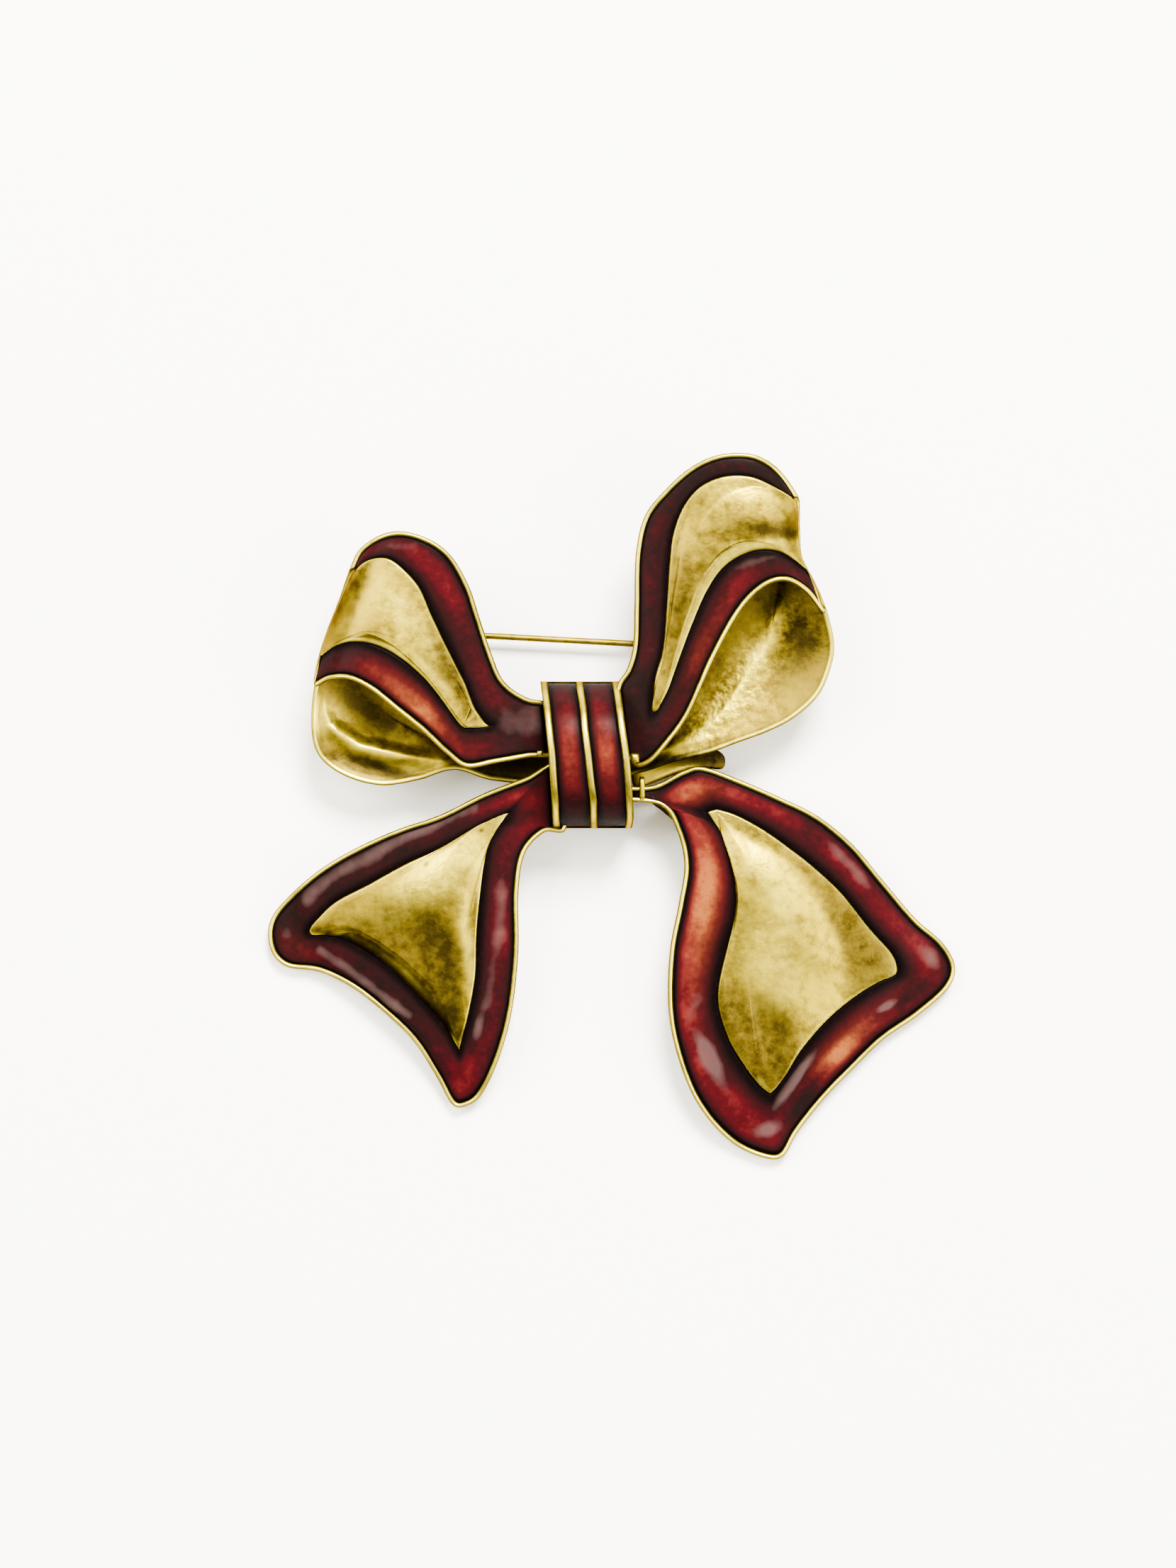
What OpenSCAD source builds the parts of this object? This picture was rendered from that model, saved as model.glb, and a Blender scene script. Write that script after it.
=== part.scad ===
// Bow brooch: a cast metal bow with enamelled borders and a pin on its back.
// It lies on its back: Z = 0 is the resting surface and +Y is the way up it is worn.

/* [Overall reach from the knot's centre] */
// reach of the left loop to the side
left_loop_w = 28.7; // [20:0.1:40]
// height of the left loop above the knot's centre
left_loop_h = 23; // [16:0.1:34]
// reach of the right loop to the side
right_loop_w = 25.8; // [18:0.1:38]
// height of the right loop above the knot's centre
right_loop_h = 31.1; // [22:0.1:44]
// reach of the left tail to the side
left_tail_w = 33.4; // [24:0.1:46]
// drop of the left tail below the knot's centre
left_tail_h = 37; // [26:0.1:50]
// reach of the right tail to the side
right_tail_w = 38.7; // [28:0.1:54]
// drop of the right tail below the knot's centre
right_tail_h = 42.7; // [30:0.1:60]

/* [Metal] */
// height of the knot above the resting surface
knot_top = 12; // [9:0.1:16]
// thickness of the cast metal under the enamel
metal_t = 1.3; // [1:0.05:2]
// depth of the channel that holds the enamel
channel = 0.6; // [0.3:0.05:1]
// width of the raised rims
rim_w = 0.55; // [0.4:0.05:1]
// height of the gold panels above the rims
panel_h = 0.15; // [0:0.05:0.6]
// width of the rails on the knot
rail_w = 0.75; // [0.5:0.05:1.2]
// width of the knot between its outer rails
knot_w = 7.9; // [6:0.1:11]
// length of the knot
knot_h = 15.7; // [12:0.1:20]
// height of the knot's back above the resting surface
knot_back = 2.6; // [2:0.1:4]

/* [Enamel] */
// gap between enamel and metal
gap = 0.04; // [0.02:0.01:0.1]
// how far the enamel lies below the rims
enamel_low = 0.1; // [0:0.05:0.3]

/* [Pin] */
// radius of the pin's stem
stem_r = 0.33; // [0.25:0.01:0.5]
// distance from the hinge to the middle of the catch
stem_span = 40.5; // [30:0.1:50]
// length of the stem beyond the catch
stem_over = 2.4; // [1:0.1:5]
// length of the thicker shank beside the hinge
shank_len = 5; // [3:0.1:10]
// length of the thinned end that lies in the catch
point_len = 5.9; // [4:0.1:10]
// height of the stem above the resting surface
stem_z = 1.5; // [1.2:0.05:2.5]
// fall of the stem to the right, in degrees
stem_fall = 3.1; // [0:0.1:15]
// hinge position left of the knot's centre
hinge_x = 22.5; // [15:0.1:30]
// hinge position above the knot's centre
hinge_y = 13.1; // [8:0.1:20]
// radius of the hinge's cross pin
rivet_r = 0.4; // [0.3:0.05:0.8]
// radial clearance of the stem's eye on the cross pin
eye_fit = 0.04; // [0.01:0.01:0.1]
// width of the stem's eye
eye_w = 1.4; // [1:0.1:3]
// height of the seats for hinge and catch above the resting surface
seat_z = 3.4; // [3:0.1:5]

/* [Hidden] */
$fn = 48;
shift_x = (left_tail_w - right_tail_w) / 2;
shift_y = (right_tail_h - right_loop_h) / 2;

// Stations round each piece. Columns: rim across, rim up, panel across, panel up,
// all shares of that piece's own reach, counted from the knot's centre.
left_loop_rows = [
    [0.85, 0.845, 0.83, 0.825],
    [0.815, 0.925, 0.785, 0.87],
    [0.74, 0.985, 0.72, 0.88],
    [0.655, 1, 0.665, 0.84],
    [0.555, 0.96, 0.6, 0.75],
    [0.48, 0.885, 0.555, 0.625],
    [0.42, 0.755, 0.515, 0.52],
    [0.38, 0.605, 0.475, 0.42],
    [0.34, 0.455, 0.435, 0.32],
    [0.295, 0.33, 0.4, 0.21],
    [0.21, 0.255, 0.365, 0.145],
    [0.085, 0.21, 0.35, 0.125],
    [0.085, 0.01, 0.385, 0.12],
    [0.21, -0.015, 0.415, 0.12],
    [0.325, -0.04, 0.44, 0.12],
    [0.43, -0.06, 0.465, 0.15],
    [0.505, 0.005, 0.515, 0.24],
    [0.59, 0.105, 0.58, 0.34],
    [0.68, 0.195, 0.67, 0.435],
    [0.77, 0.285, 0.755, 0.49],
    [0.85, 0.335, 0.83, 0.505],
    [0.92, 0.335, 0.895, 0.49],
    [0.98, 0.31, 0.955, 0.445],
];
right_loop_rows = [
    [0.85, 0.865, 0.83, 0.85],
    [0.77, 0.95, 0.76, 0.885],
    [0.67, 0.995, 0.66, 0.92],
    [0.54, 0.995, 0.55, 0.92],
    [0.425, 0.955, 0.455, 0.885],
    [0.32, 0.88, 0.39, 0.82],
    [0.235, 0.79, 0.35, 0.73],
    [0.2, 0.665, 0.335, 0.63],
    [0.195, 0.495, 0.325, 0.51],
    [0.19, 0.365, 0.31, 0.355],
    [0.165, 0.285, 0.28, 0.26],
    [0.12, 0.215, 0.27, 0.19],
    [0.12, 0.06, 0.265, 0.145],
    [0.185, -0.035, 0.285, 0.145],
    [0.255, -0.03, 0.3, 0.165],
    [0.335, 0.04, 0.33, 0.215],
    [0.415, 0.135, 0.365, 0.295],
    [0.515, 0.32, 0.425, 0.43],
    [0.615, 0.47, 0.49, 0.55],
    [0.705, 0.55, 0.565, 0.63],
    [0.795, 0.575, 0.675, 0.675],
    [0.88, 0.54, 0.78, 0.67],
    [0.955, 0.47, 0.885, 0.615],
];
// The turned-over outer end of each loop, with the same columns.
left_end_rows = [
    [0.97, 0.42, 0.95, 0.49],
    [0.94, 0.545, 0.93, 0.56],
    [0.89, 0.705, 0.88, 0.7],
];
right_end_rows = [
    [0.93, 0.555, 0.87, 0.645],
    [0.87, 0.65, 0.855, 0.69],
    [0.86, 0.745, 0.85, 0.75],
    [0.86, 0.815, 0.85, 0.81],
];
left_tail_rows = [
    [0.08, 0.025, 0.24, 0.165],
    [0.19, 0.065, 0.265, 0.175],
    [0.32, 0.11, 0.345, 0.21],
    [0.455, 0.17, 0.455, 0.265],
    [0.585, 0.21, 0.565, 0.31],
    [0.71, 0.26, 0.675, 0.365],
    [0.825, 0.32, 0.78, 0.415],
    [0.925, 0.395, 0.84, 0.465],
    [0.99, 0.47, 0.865, 0.495],
    [0.99, 0.55, 0.855, 0.51],
    [0.94, 0.6, 0.815, 0.51],
    [0.835, 0.615, 0.755, 0.52],
    [0.73, 0.66, 0.675, 0.56],
    [0.63, 0.73, 0.595, 0.615],
    [0.54, 0.81, 0.52, 0.685],
    [0.47, 0.91, 0.445, 0.76],
    [0.42, 0.99, 0.405, 0.82],
    [0.375, 0.995, 0.395, 0.83],
    [0.325, 0.96, 0.385, 0.795],
    [0.27, 0.855, 0.365, 0.725],
    [0.23, 0.72, 0.345, 0.62],
    [0.21, 0.55, 0.34, 0.5],
    [0.21, 0.39, 0.325, 0.36],
    [0.19, 0.28, 0.31, 0.26],
    [0.13, 0.22, 0.285, 0.21],
    [0.06, 0.205, 0.255, 0.18],
];
right_tail_rows = [
    [0.08, 0.08, 0.33, 0.145],
    [0.18, 0.075, 0.33, 0.14],
    [0.26, 0.04, 0.345, 0.135],
    [0.315, 0.03, 0.36, 0.135],
    [0.41, 0.06, 0.41, 0.15],
    [0.525, 0.105, 0.48, 0.185],
    [0.625, 0.15, 0.55, 0.23],
    [0.72, 0.22, 0.62, 0.28],
    [0.8, 0.305, 0.69, 0.34],
    [0.89, 0.4, 0.765, 0.425],
    [0.965, 0.46, 0.82, 0.48],
    [1, 0.52, 0.84, 0.515],
    [0.98, 0.575, 0.835, 0.54],
    [0.9, 0.64, 0.785, 0.56],
    [0.805, 0.7, 0.715, 0.6],
    [0.725, 0.77, 0.645, 0.655],
    [0.645, 0.845, 0.58, 0.725],
    [0.575, 0.925, 0.54, 0.785],
    [0.535, 0.985, 0.505, 0.825],
    [0.485, 0.99, 0.49, 0.825],
    [0.4, 0.955, 0.46, 0.8],
    [0.32, 0.88, 0.42, 0.75],
    [0.265, 0.785, 0.38, 0.685],
    [0.225, 0.645, 0.355, 0.595],
    [0.225, 0.49, 0.375, 0.49],
    [0.25, 0.365, 0.41, 0.39],
    [0.265, 0.27, 0.415, 0.305],
    [0.245, 0.185, 0.4, 0.235],
    [0.2, 0.125, 0.37, 0.185],
    [0.08, 0.11, 0.345, 0.16],
];
// The back ribbon of each loop, seen from the front as a dish. Columns: across, up, height.
left_dish_rows = [
    [0.95, 0.515, 0.57],
    [0.98, 0.34, 0.55],
    [0.995, 0.175, 0.5],
    [0.985, 0.04, 0.47],
    [0.94, -0.045, 0.45],
    [0.85, -0.11, 0.44],
    [0.735, -0.14, 0.43],
    [0.605, -0.115, 0.43],
    [0.475, -0.07, 0.42],
    [0.325, -0.12, 0.36],
    [0.095, -0.115, 0.34],
    [0.085, 0.145, 0.4],
    [0.31, 0.31, 0.42],
    [0.42, 0.565, 0.43],
    [0.55, 0.76, 0.44],
    [0.71, 0.885, 0.48],
    [0.815, 0.835, 0.53],
    [0.885, 0.675, 0.56],
];
right_dish_rows = [
    [0.865, 0.665, 0.62],
    [0.925, 0.57, 0.62],
    [0.97, 0.48, 0.6],
    [1, 0.37, 0.58],
    [0.985, 0.285, 0.56],
    [0.935, 0.195, 0.54],
    [0.835, 0.12, 0.52],
    [0.73, 0.075, 0.51],
    [0.615, 0.04, 0.5],
    [0.5, 0.005, 0.48],
    [0.355, -0.025, 0.45],
    [0.225, -0.06, 0.42],
    [0.115, -0.065, 0.4],
    [0.115, 0.155, 0.44],
    [0.24, 0.275, 0.46],
    [0.285, 0.44, 0.48],
    [0.37, 0.65, 0.52],
    [0.515, 0.78, 0.56],
    [0.7, 0.835, 0.6],
    [0.82, 0.77, 0.62],
];
// Deepest point of each dish. Columns: across, up, height.
left_dish_mid = [0.735, 0.19, 0.32];
right_dish_mid = [0.73, 0.33, 0.39];
// Height of a loop's rims along its length. Columns: share of its length, height.
loop_folds = [
    [0, 0.6],
    [0.15, 0.66],
    [0.35, 0.8],
    [0.6, 0.89],
    [0.8, 0.9],
    [0.9, 0.87],
    [0.96, 0.79],
    [1.03, 0.6],
];
// Height of a tail's rims by distance from the knot. Columns: share of its reach, height.
tail_folds = [
    [0, 0.52],
    [0.3, 0.48],
    [0.55, 0.43],
    [0.8, 0.33],
    [0.95, 0.23],
    [1.05, 0.13],
    [1.2, 0.12],
];
// Swells and hollows of the panels. Columns: across, up, width, height.
left_loop_swells = [[0.8, 0.7, 0.18, 0.5], [0.6, 0.5, 0.2, 0.3]];
right_loop_swells = [[0.68, 0.86, 0.14, 0.6], [0.8, 0.72, 0.1, -0.4], [0.4, 0.6, 0.2, 0.4]];
left_tail_swells = [[0.4, 0.36, 0.16, 0.8], [0.6, 0.55, 0.16, -0.5], [0.36, 0.66, 0.12, 0.7]];
right_tail_swells = [[0.5, 0.33, 0.16, 0.9], [0.68, 0.5, 0.14, 0.6], [0.46, 0.68, 0.14, -0.5]];
// Sections of the knot from top to bottom.
// Columns: up, left rail, middle rail, right rail, height.
knot_rows = [
    [0.485, -0.555, -0.085, 0.39, 0.46],
    [0.42, -0.535, -0.07, 0.41, 0.7],
    [0.305, -0.505, -0.035, 0.44, 0.88],
    [0.165, -0.475, -0.01, 0.475, 0.97],
    [0, -0.44, 0.03, 0.52, 1],
    [-0.165, -0.42, 0.065, 0.55, 0.97],
    [-0.305, -0.4, 0.1, 0.57, 0.88],
    [-0.42, -0.392, 0.105, 0.58, 0.7],
    [-0.49, -0.382, 0.11, 0.56, 0.46],
];
// Small cast beads and posts beside the knot, in shares of its width, length and height.
// Columns: across, up, low, wide, long, high.
knot_beads = [
    [0.582, -0.057, 0.25, 0.12, 0.064, 0.517],
    [0.709, -0.306, 0.233, 0.063, 0.159, 0.283],
    [-0.646, -0.006, 0.292, 0.089, 0.032, 0.4],
];
// Web between the right dish and the right tail: across, up as shares of the knot's width
// and height.
web_rows = [
    [0.54, 0.05], [1.14, 0.04], [1.62, 0.045], [1.82, -0.006], [1.8, -0.099], [1.48, -0.1],
    [1.14, -0.15], [0.81, -0.21], [0.62, -0.23], [0.54, -0.12]
];
// Rows at the two far corners of each leaf. Columns: end of the upper side, start of the lower.
leaf_corners = [[11, 12], [12, 13], [9, 17], [12, 19]];

// Curves through the rows of a table.
function between(a, b, c, d, t) =
    (2 * b + (c - a) * t + (2 * a - 5 * b + 4 * c - d) * t * t
    + (3 * b - a - 3 * c + d) * t * t * t) / 2;
function open_curve(rows, parts) = let (n = len(rows) - 1) concat(
    [for (i = [0:n - 1], j = [0:parts - 1])
        between(rows[max(i - 1, 0)], rows[i], rows[i + 1], rows[min(i + 2, n)], j / parts)],
    [rows[n]]);
function closed_curve(rows, parts) = let (n = len(rows))
    [for (i = [0:n - 1], j = [0:parts - 1])
        between(rows[(i + n - 1) % n], rows[i], rows[(i + 1) % n], rows[(i + 2) % n],
            j / parts)];
loop_fold_line = open_curve(loop_folds, 4);
tail_fold_line = open_curve(tail_folds, 4);

// Place of a share in millimetres: side is -1 or 1 across, rise is -1 or 1 up.
function place(row, k, w, h, side, rise) = [side * row[k] * w, rise * row[k + 1] * h];

// A ring moved inward by d; turn is 1 for an anticlockwise ring and -1 for a clockwise one.
function normal_at(ring, i, closed, turn) = let (
    n = len(ring),
    a = ring[closed ? (i + n - 1) % n : max(i - 1, 0)],
    b = ring[closed ? (i + 1) % n : min(i + 1, n - 1)],
    d = b - a
) turn * [-d[1], d[0]] / norm(d);
function inset(ring, d, closed, turn) =
    [for (i = [0:len(ring) - 1]) ring[i] + d * normal_at(ring, i, closed, turn)];
function toward(ring, c, share) = [for (p = ring) p + (c - p) * share];

// Height of the rims at a place on a loop or a tail.
function loop_height(p, end, side) = let (
    far = end[1] - end[0],
    n = [far[1], -far[0]] / norm(far),
    reach = end[0] * n
) knot_top * lookup((p * n) / reach, loop_fold_line);
function tail_height(p, w, h) = knot_top * lookup(norm([p[0] / w, p[1] / h]), tail_fold_line);
function swell(p, swells, w, h, side, rise) = let (
    q = [side * p[0] / w, rise * p[1] / h]
) [for (s = swells) s[3] * exp(-pow(norm(q - [s[0], s[1]]) / s[2], 2))] * [for (s = swells) 1];

// Faces are listed for one turn of the rings and are reversed for the other.
function facing(faces, same) = same ? faces : [for (f = faces) [f[0], f[2], f[1]]];

// Body between closed rings of the same count, with its two ends closed by fans.
// turn is 1 for anticlockwise rings, which are listed from the underside to the top.
module stack(rings, turn) {
    n = len(rings[0]);
    m = len(rings);
    points = concat([for (r = rings) each r], [for (r = [rings[0], rings[m - 1]])
        [for (k = [0:2]) [for (p = r) p[k]] * [for (p = r) 1] / n]]);
    sides = [for (i = [0:m - 2], j = [0:n - 1]) let (
        a = i * n + j,
        b = i * n + (j + 1) % n
    ) each [[a, b, b + n], [a, b + n, a + n]]];
    first = [for (j = [0:n - 1]) [m * n, (j + 1) % n, j]];
    last = [for (j = [0:n - 1]) [m * n + 1, (m - 1) * n + j, (m - 1) * n + (j + 1) % n]];
    polyhedron(points, facing(concat(sides, first, last), turn < 0), convexity = 8);
}

// Bar along a path, through sections listed from its outer foot over the top to its inner foot.
module bar(sections, closed, turn) {
    n = len(sections[0]);
    m = len(sections);
    points = [for (s = sections) each s];
    sides = [for (i = [0:closed ? m - 1 : m - 2], j = [0:n - 1]) let (
        a = i * n + j,
        b = i * n + (j + 1) % n,
        c = ((i + 1) % m) * n + j,
        d = ((i + 1) % m) * n + (j + 1) % n
    ) each [[a, b, d], [a, d, c]]];
    ends = closed ? [] : concat(
        [for (j = [1:n - 2]) [0, j + 1, j]],
        [for (j = [1:n - 2]) [(m - 1) * n, (m - 1) * n + j, (m - 1) * n + j + 1]]);
    polyhedron(points, facing(concat(sides, ends), turn > 0), convexity = 8);
}
function sections_of(rings) = [for (i = [0:len(rings[0]) - 1]) [for (r = rings) r[i]]];

// Sizes and tables of one leaf: 0 and 1 are the left and right loop, 2 and 3 the tails.
function leaf_w(k) = [left_loop_w, right_loop_w, left_tail_w, right_tail_w][k];
function leaf_h(k) = [left_loop_h, right_loop_h, left_tail_h, right_tail_h][k];
function leaf_rows(k) = [left_loop_rows, right_loop_rows, left_tail_rows, right_tail_rows][k];
function leaf_swells(k) =
    [left_loop_swells, right_loop_swells, left_tail_swells, right_tail_swells][k];
function leaf_side(k) = k % 2 == 0 ? -1 : 1;
function leaf_rise(k) = k < 2 ? 1 : -1;
// Way round of the rows, 1 for anticlockwise.
function leaf_turn(k) = leaf_side(k) * leaf_rise(k);
function leaf_place(row, at, k) =
    place(row, at, leaf_w(k), leaf_h(k), leaf_side(k), leaf_rise(k));
// Closed curve round a leaf: column 0 is the rim, column 2 the panel.
function leaf_curve(k, at) = let (
    ends = k == 0 ? left_end_rows : k == 1 ? right_end_rows : []
) closed_curve([for (r = concat(leaf_rows(k), ends)) leaf_place(r, at, k)], 3);
// A place on a closed curve, counted in points and parts of one.
function at_point(ring, i) = let (n = len(ring), a = floor(i), f = i - a)
    ring[a % n] * (1 - f) + ring[(a + 1) % n] * f;
// Shares along and across a leaf of ring point i, which goes along its upper side to corner a,
// over its far end to corner b, back along its lower side to corner c and over its near end.
function shares_at(i, a, b, c, n) = i <= a
    ? [i / a, 0]
    : i <= b
        ? [1, (i - a) / (b - a)]
        : i <= c
            ? [(c - i) / (c - b), 1]
            : [0, (n - i) / (n - c)];
// A place inside the ring: between its sides, plus between its ends, less its corners.
function within(ring, t, v, a, b, c) = let (
    n = len(ring),
    sides = (1 - v) * at_point(ring, t * a) + v * at_point(ring, c - t * (c - b)),
    ends = (1 - t) * at_point(ring, n - v * (n - c)) + t * at_point(ring, a + (b - a) * v),
    near = (1 - v) * ring[0] + v * ring[c],
    far = (1 - v) * ring[a] + v * ring[b]
) sides + ends - (1 - t) * near - t * far;
// A leaf's ring drawn together by a share of the way to its middle.
function shrunk(ring, k, share) = let (
    a = 3 * leaf_corners[k][0],
    b = 3 * leaf_corners[k][1],
    c = 3 * len(leaf_rows(k)) - 3,
    n = len(ring)
) [for (i = [0:n - 1]) let (s = shares_at(i, a, b, c, n))
    within(ring, s[0] + (0.5 - s[0]) * share, s[1] + (0.5 - s[1]) * share, a, b, c)];
// The stretch of it that has a rim: all of a tail's, and a loop's without its outer end.
function rimmed(curve, k) = k > 1 ? curve : [for (i = [0:3 * len(leaf_rows(k)) - 3]) curve[i]];
function shortened(curve, k) = k > 1 ? curve : [for (i = [2:len(curve) - 3]) curve[i]];
function loop_end(k) = let (
    rows = leaf_rows(k),
    a = leaf_place(rows[0], 0, k),
    b = leaf_place(rows[len(rows) - 1], 0, k)
) k == 0 ? [a, b] : [b, a];
function leaf_height(p, k) = k < 2
    ? loop_height(p, loop_end(k), leaf_side(k))
    : tail_height(p, leaf_w(k), leaf_h(k));
function leaf_swell(p, k) =
    swell(p, leaf_swells(k), leaf_w(k), leaf_h(k), leaf_side(k), leaf_rise(k));
// A flat ring or path laid on the leaf, add above its rims and swollen by the share swells.
function laid(ring, k, add, swells) = [for (i = [0:len(ring) - 1]) let (p = ring[i])
    [p[0], p[1], max(0, leaf_height(p, k) + (is_list(add) ? add[i] : add)
        + (swells > 0 ? swells * leaf_swell(p, k) : 0))]];

// One leaf: rings from its underside round the edge, over the rim, through the channel
// and up on the panel. A loop's outer end has no rim and no channel.
module leaf(k) {
    turn = leaf_turn(k);
    outline = leaf_curve(k, 0);
    panel = leaf_curve(k, 2);
    count = len(outline);
    cut = [for (i = [0:count - 1]) i < len(rimmed(outline, k)) ? 1 : 0];
    foot = inset(outline, 0.3, true, turn);
    inner = [for (i = [0:count - 1])
        outline[i] + (0.04 + (rim_w - 0.04) * cut[i]) * normal_at(outline, i, true, turn)];
    low = -channel - metal_t;
    stack([
        laid(shrunk(foot, k, 0.5), k, low, 0),
        laid(foot, k, low, 0),
        laid(outline, k, low + 0.3, 0),
        laid(outline, k, -0.06, 0),
        laid(inner, k, 0, 0),
        laid(inset(inner, 0.02, true, turn), k, -channel * cut, 0),
        laid(panel, k, -channel * cut, 0),
        laid(shrunk(panel, k, 0.01), k, panel_h, 0.5),
        laid(shrunk(panel, k, 0.3), k, panel_h, 1),
        laid(shrunk(panel, k, 0.65), k, panel_h, 1)
    ], turn);
}

// The enamel of one leaf stops at the side of the knot.
function knot_face(y, side) = let (
    k = side < 0 ? 1 : 3,
    line = [for (i = [len(knot_rows) - 1:-1:0])
        [knot_rows[i][0] * knot_h, knot_rows[i][k] * knot_w + side * (rail_w / 2 + 3 * gap)]]
) lookup(y, line);
function beside_knot(ring, k) = let (
    side = leaf_side(k),
    post = k == 3 ? (knot_beads[1][0] + knot_beads[1][3]) * knot_w + 3 * gap : 0
) [for (p = ring) [side * max(side * p[0], side * knot_face(p[1], side), post), p[1]]];
module leaf_enamel(k) {
    turn = leaf_turn(k);
    outer = shortened(beside_knot(rimmed(
        inset(leaf_curve(k, 0), rim_w + 0.02 + gap, true, turn), k), k), k);
    inner = shortened(rimmed(inset(leaf_curve(k, 2), -gap, true, turn), k), k);
    crown = [for (i = [0:len(outer) - 1]) (outer[i] + inner[i]) / 2];
    low = -channel + (k < 2 ? 6 : 3) * gap;
    difference() {
        bar(sections_of([
            laid(outer, k, low, 0),
            laid(outer, k, -enamel_low - 0.05, 0),
            laid(crown, k, -enamel_low, 0),
            laid(inner, k, -enamel_low - 0.05, 0),
            laid(inner, k, low, 0)
        ]), k > 1, turn);
        if (k < 2) for (b = knot_beads) knot_bead(b, gap);
    }
}

// The back ribbon of a loop, hollowed towards its deepest point.
module dish(k) {
    rows = k == 0 ? left_dish_rows : right_dish_rows;
    mid = k == 0 ? left_dish_mid : right_dish_mid;
    side = leaf_side(k);
    turn = -side;
    ring = closed_curve([for (r = rows) [side * r[0] * leaf_w(k), r[1] * leaf_h(k),
        r[2] * knot_top]], 2);
    flat = [for (p = ring) [p[0], p[1]]];
    z = [for (p = ring) p[2]];
    c = [side * mid[0] * leaf_w(k), mid[1] * leaf_h(k)];
    depth = mid[2] * knot_top;
    // share runs from the rim at 0 to the deepest point at 1
    function hollow(d, share, add) = let (at = toward(inset(flat, d, true, turn), c, share))
        [for (i = [0:len(at) - 1]) [at[i][0], at[i][1],
            depth + (z[i] - depth) * pow(1 - share, 1.6) + add]];
    stack([
        hollow(0.3, 0.5, -metal_t),
        hollow(0.2, 0, -metal_t),
        hollow(0, 0, -0.15),
        hollow(0.2, 0, 0),
        hollow(0.7, 0, -0.1),
        hollow(0.8, 0.3, 0),
        hollow(0.8, 0.7, 0)
    ], turn);
}

// Knot: sections up its length, each [up, left, middle, right, height] in millimetres.
knot_line = [for (r = open_curve(knot_rows, 2)) [r[0] * knot_h, r[1] * knot_w, r[2] * knot_w,
    r[3] * knot_w, r[4] * knot_top]];
module knot_slice(s) {
    translate([s[1] - rail_w / 2 + 0.03, s[0] - 0.01, knot_back])
        cube([s[3] - s[1] + rail_w - 0.06, 0.02, s[4] - channel - knot_back]);
}
module rail(k) {
    edge = rail_w / 2;
    bar([for (s = knot_line) [
        [s[k] - edge, s[0], s[4] - channel - 0.3],
        [s[k] - edge, s[0], s[4] - 0.25],
        [s[k] - edge / 2, s[0], s[4]],
        [s[k] + edge / 2, s[0], s[4]],
        [s[k] + edge, s[0], s[4] - 0.25],
        [s[k] + edge, s[0], s[4] - channel - 0.3]
    ]], false, 1);
}
module knot() {
    last = len(knot_line) - 1;
    for (i = [0:last - 1])
        hull() {
            knot_slice(knot_line[i]);
            knot_slice(knot_line[i + 1]);
        }
    for (k = [1:3]) rail(k);
    for (s = [knot_line[0], knot_line[last]])
        translate([s[1], s[0] - 0.2, knot_back + 0.3])
            cube([s[3] - s[1], 0.4, s[4] - 0.2 - knot_back - 0.3]);
}
module knot_enamel(k) {
    cut = [for (s = knot_line) if (s[0] < knot_line[0][0] - 0.3
        && s[0] > knot_line[len(knot_line) - 1][0] + 0.3) s];
    foot = rail_w / 2 + gap;
    bar([for (s = cut) let (
        a = s[k] + foot,
        b = s[k + 1] - foot,
        low = s[4] - channel + gap,
        top = s[4] - enamel_low
    ) [[a, s[0], low], [a, s[0], top - 0.05], [(a + b) / 2, s[0], top], [b, s[0], top - 0.05],
        [b, s[0], low]]], false, 1);
}
module knot_bead(b, extra = 0) {
    translate([b[0] * knot_w - extra, b[1] * knot_h - extra, b[2] * knot_top])
        cube([b[3] * knot_w + 2 * extra, b[4] * knot_h + 2 * extra, b[5] * knot_top]);
}

module web() {
    low = knot_back + 0.2;
    high = tail_folds[0][1] * knot_top - channel - metal_t + 0.5;
    translate([0, 0, low]) linear_extrude(high - low)
        polygon([for (r = web_rows) [r[0] * knot_w, r[1] * knot_h]]);
}

// Places on the pin's line, measured from the hinge along the stem.
module at_hinge() {
    translate([-hinge_x, hinge_y, 0]) rotate([0, 0, -stem_fall]) children();
}
module at_catch() {
    at_hinge() translate([stem_span, 0, 0]) children();
}
plate_t = 0.8;
plate_top = seat_z - 0.03;
lug_t = 0.9;
lug_y = eye_w / 2 + 0.06;
eye_r = 1;
stem_len = stem_span + stem_over;
shank_r = stem_r + 0.1;
point_r = stem_r - 0.08;
taper = 0.6;
point_cone = 6 * stem_r;

module bow_casting() {
    color("goldenrod") union() {
        difference() {
            union() {
                for (k = [0:3]) leaf(k);
                dish(0);
                dish(1);
                knot();
                web();
                at_hinge() translate([-2.3, -2.4, seat_z - 0.5]) cube([5.2, 4.8, 1.9]);
                at_catch() translate([-1.7, -1.9, seat_z - 0.5]) cube([3.4, 3.8, 1.4]);
            }
            at_hinge() translate([-2.6, -2.7, -1]) cube([5.8, 5.4, seat_z + 1]);
            at_catch() translate([-2, -2.2, -1]) cube([4, 4.4, seat_z + 1]);
        }
        for (b = knot_beads) knot_bead(b);
    }
}
module enamel_left_loop() {
    color("firebrick") leaf_enamel(0);
}
module enamel_right_loop() {
    color("firebrick") leaf_enamel(1);
}
module enamel_left_tail() {
    color("firebrick") leaf_enamel(2);
}
module enamel_right_tail() {
    color("firebrick") leaf_enamel(3);
}
module enamel_knot_left() {
    color("firebrick") knot_enamel(1);
}
module enamel_knot_right() {
    color("firebrick") knot_enamel(2);
}
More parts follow.
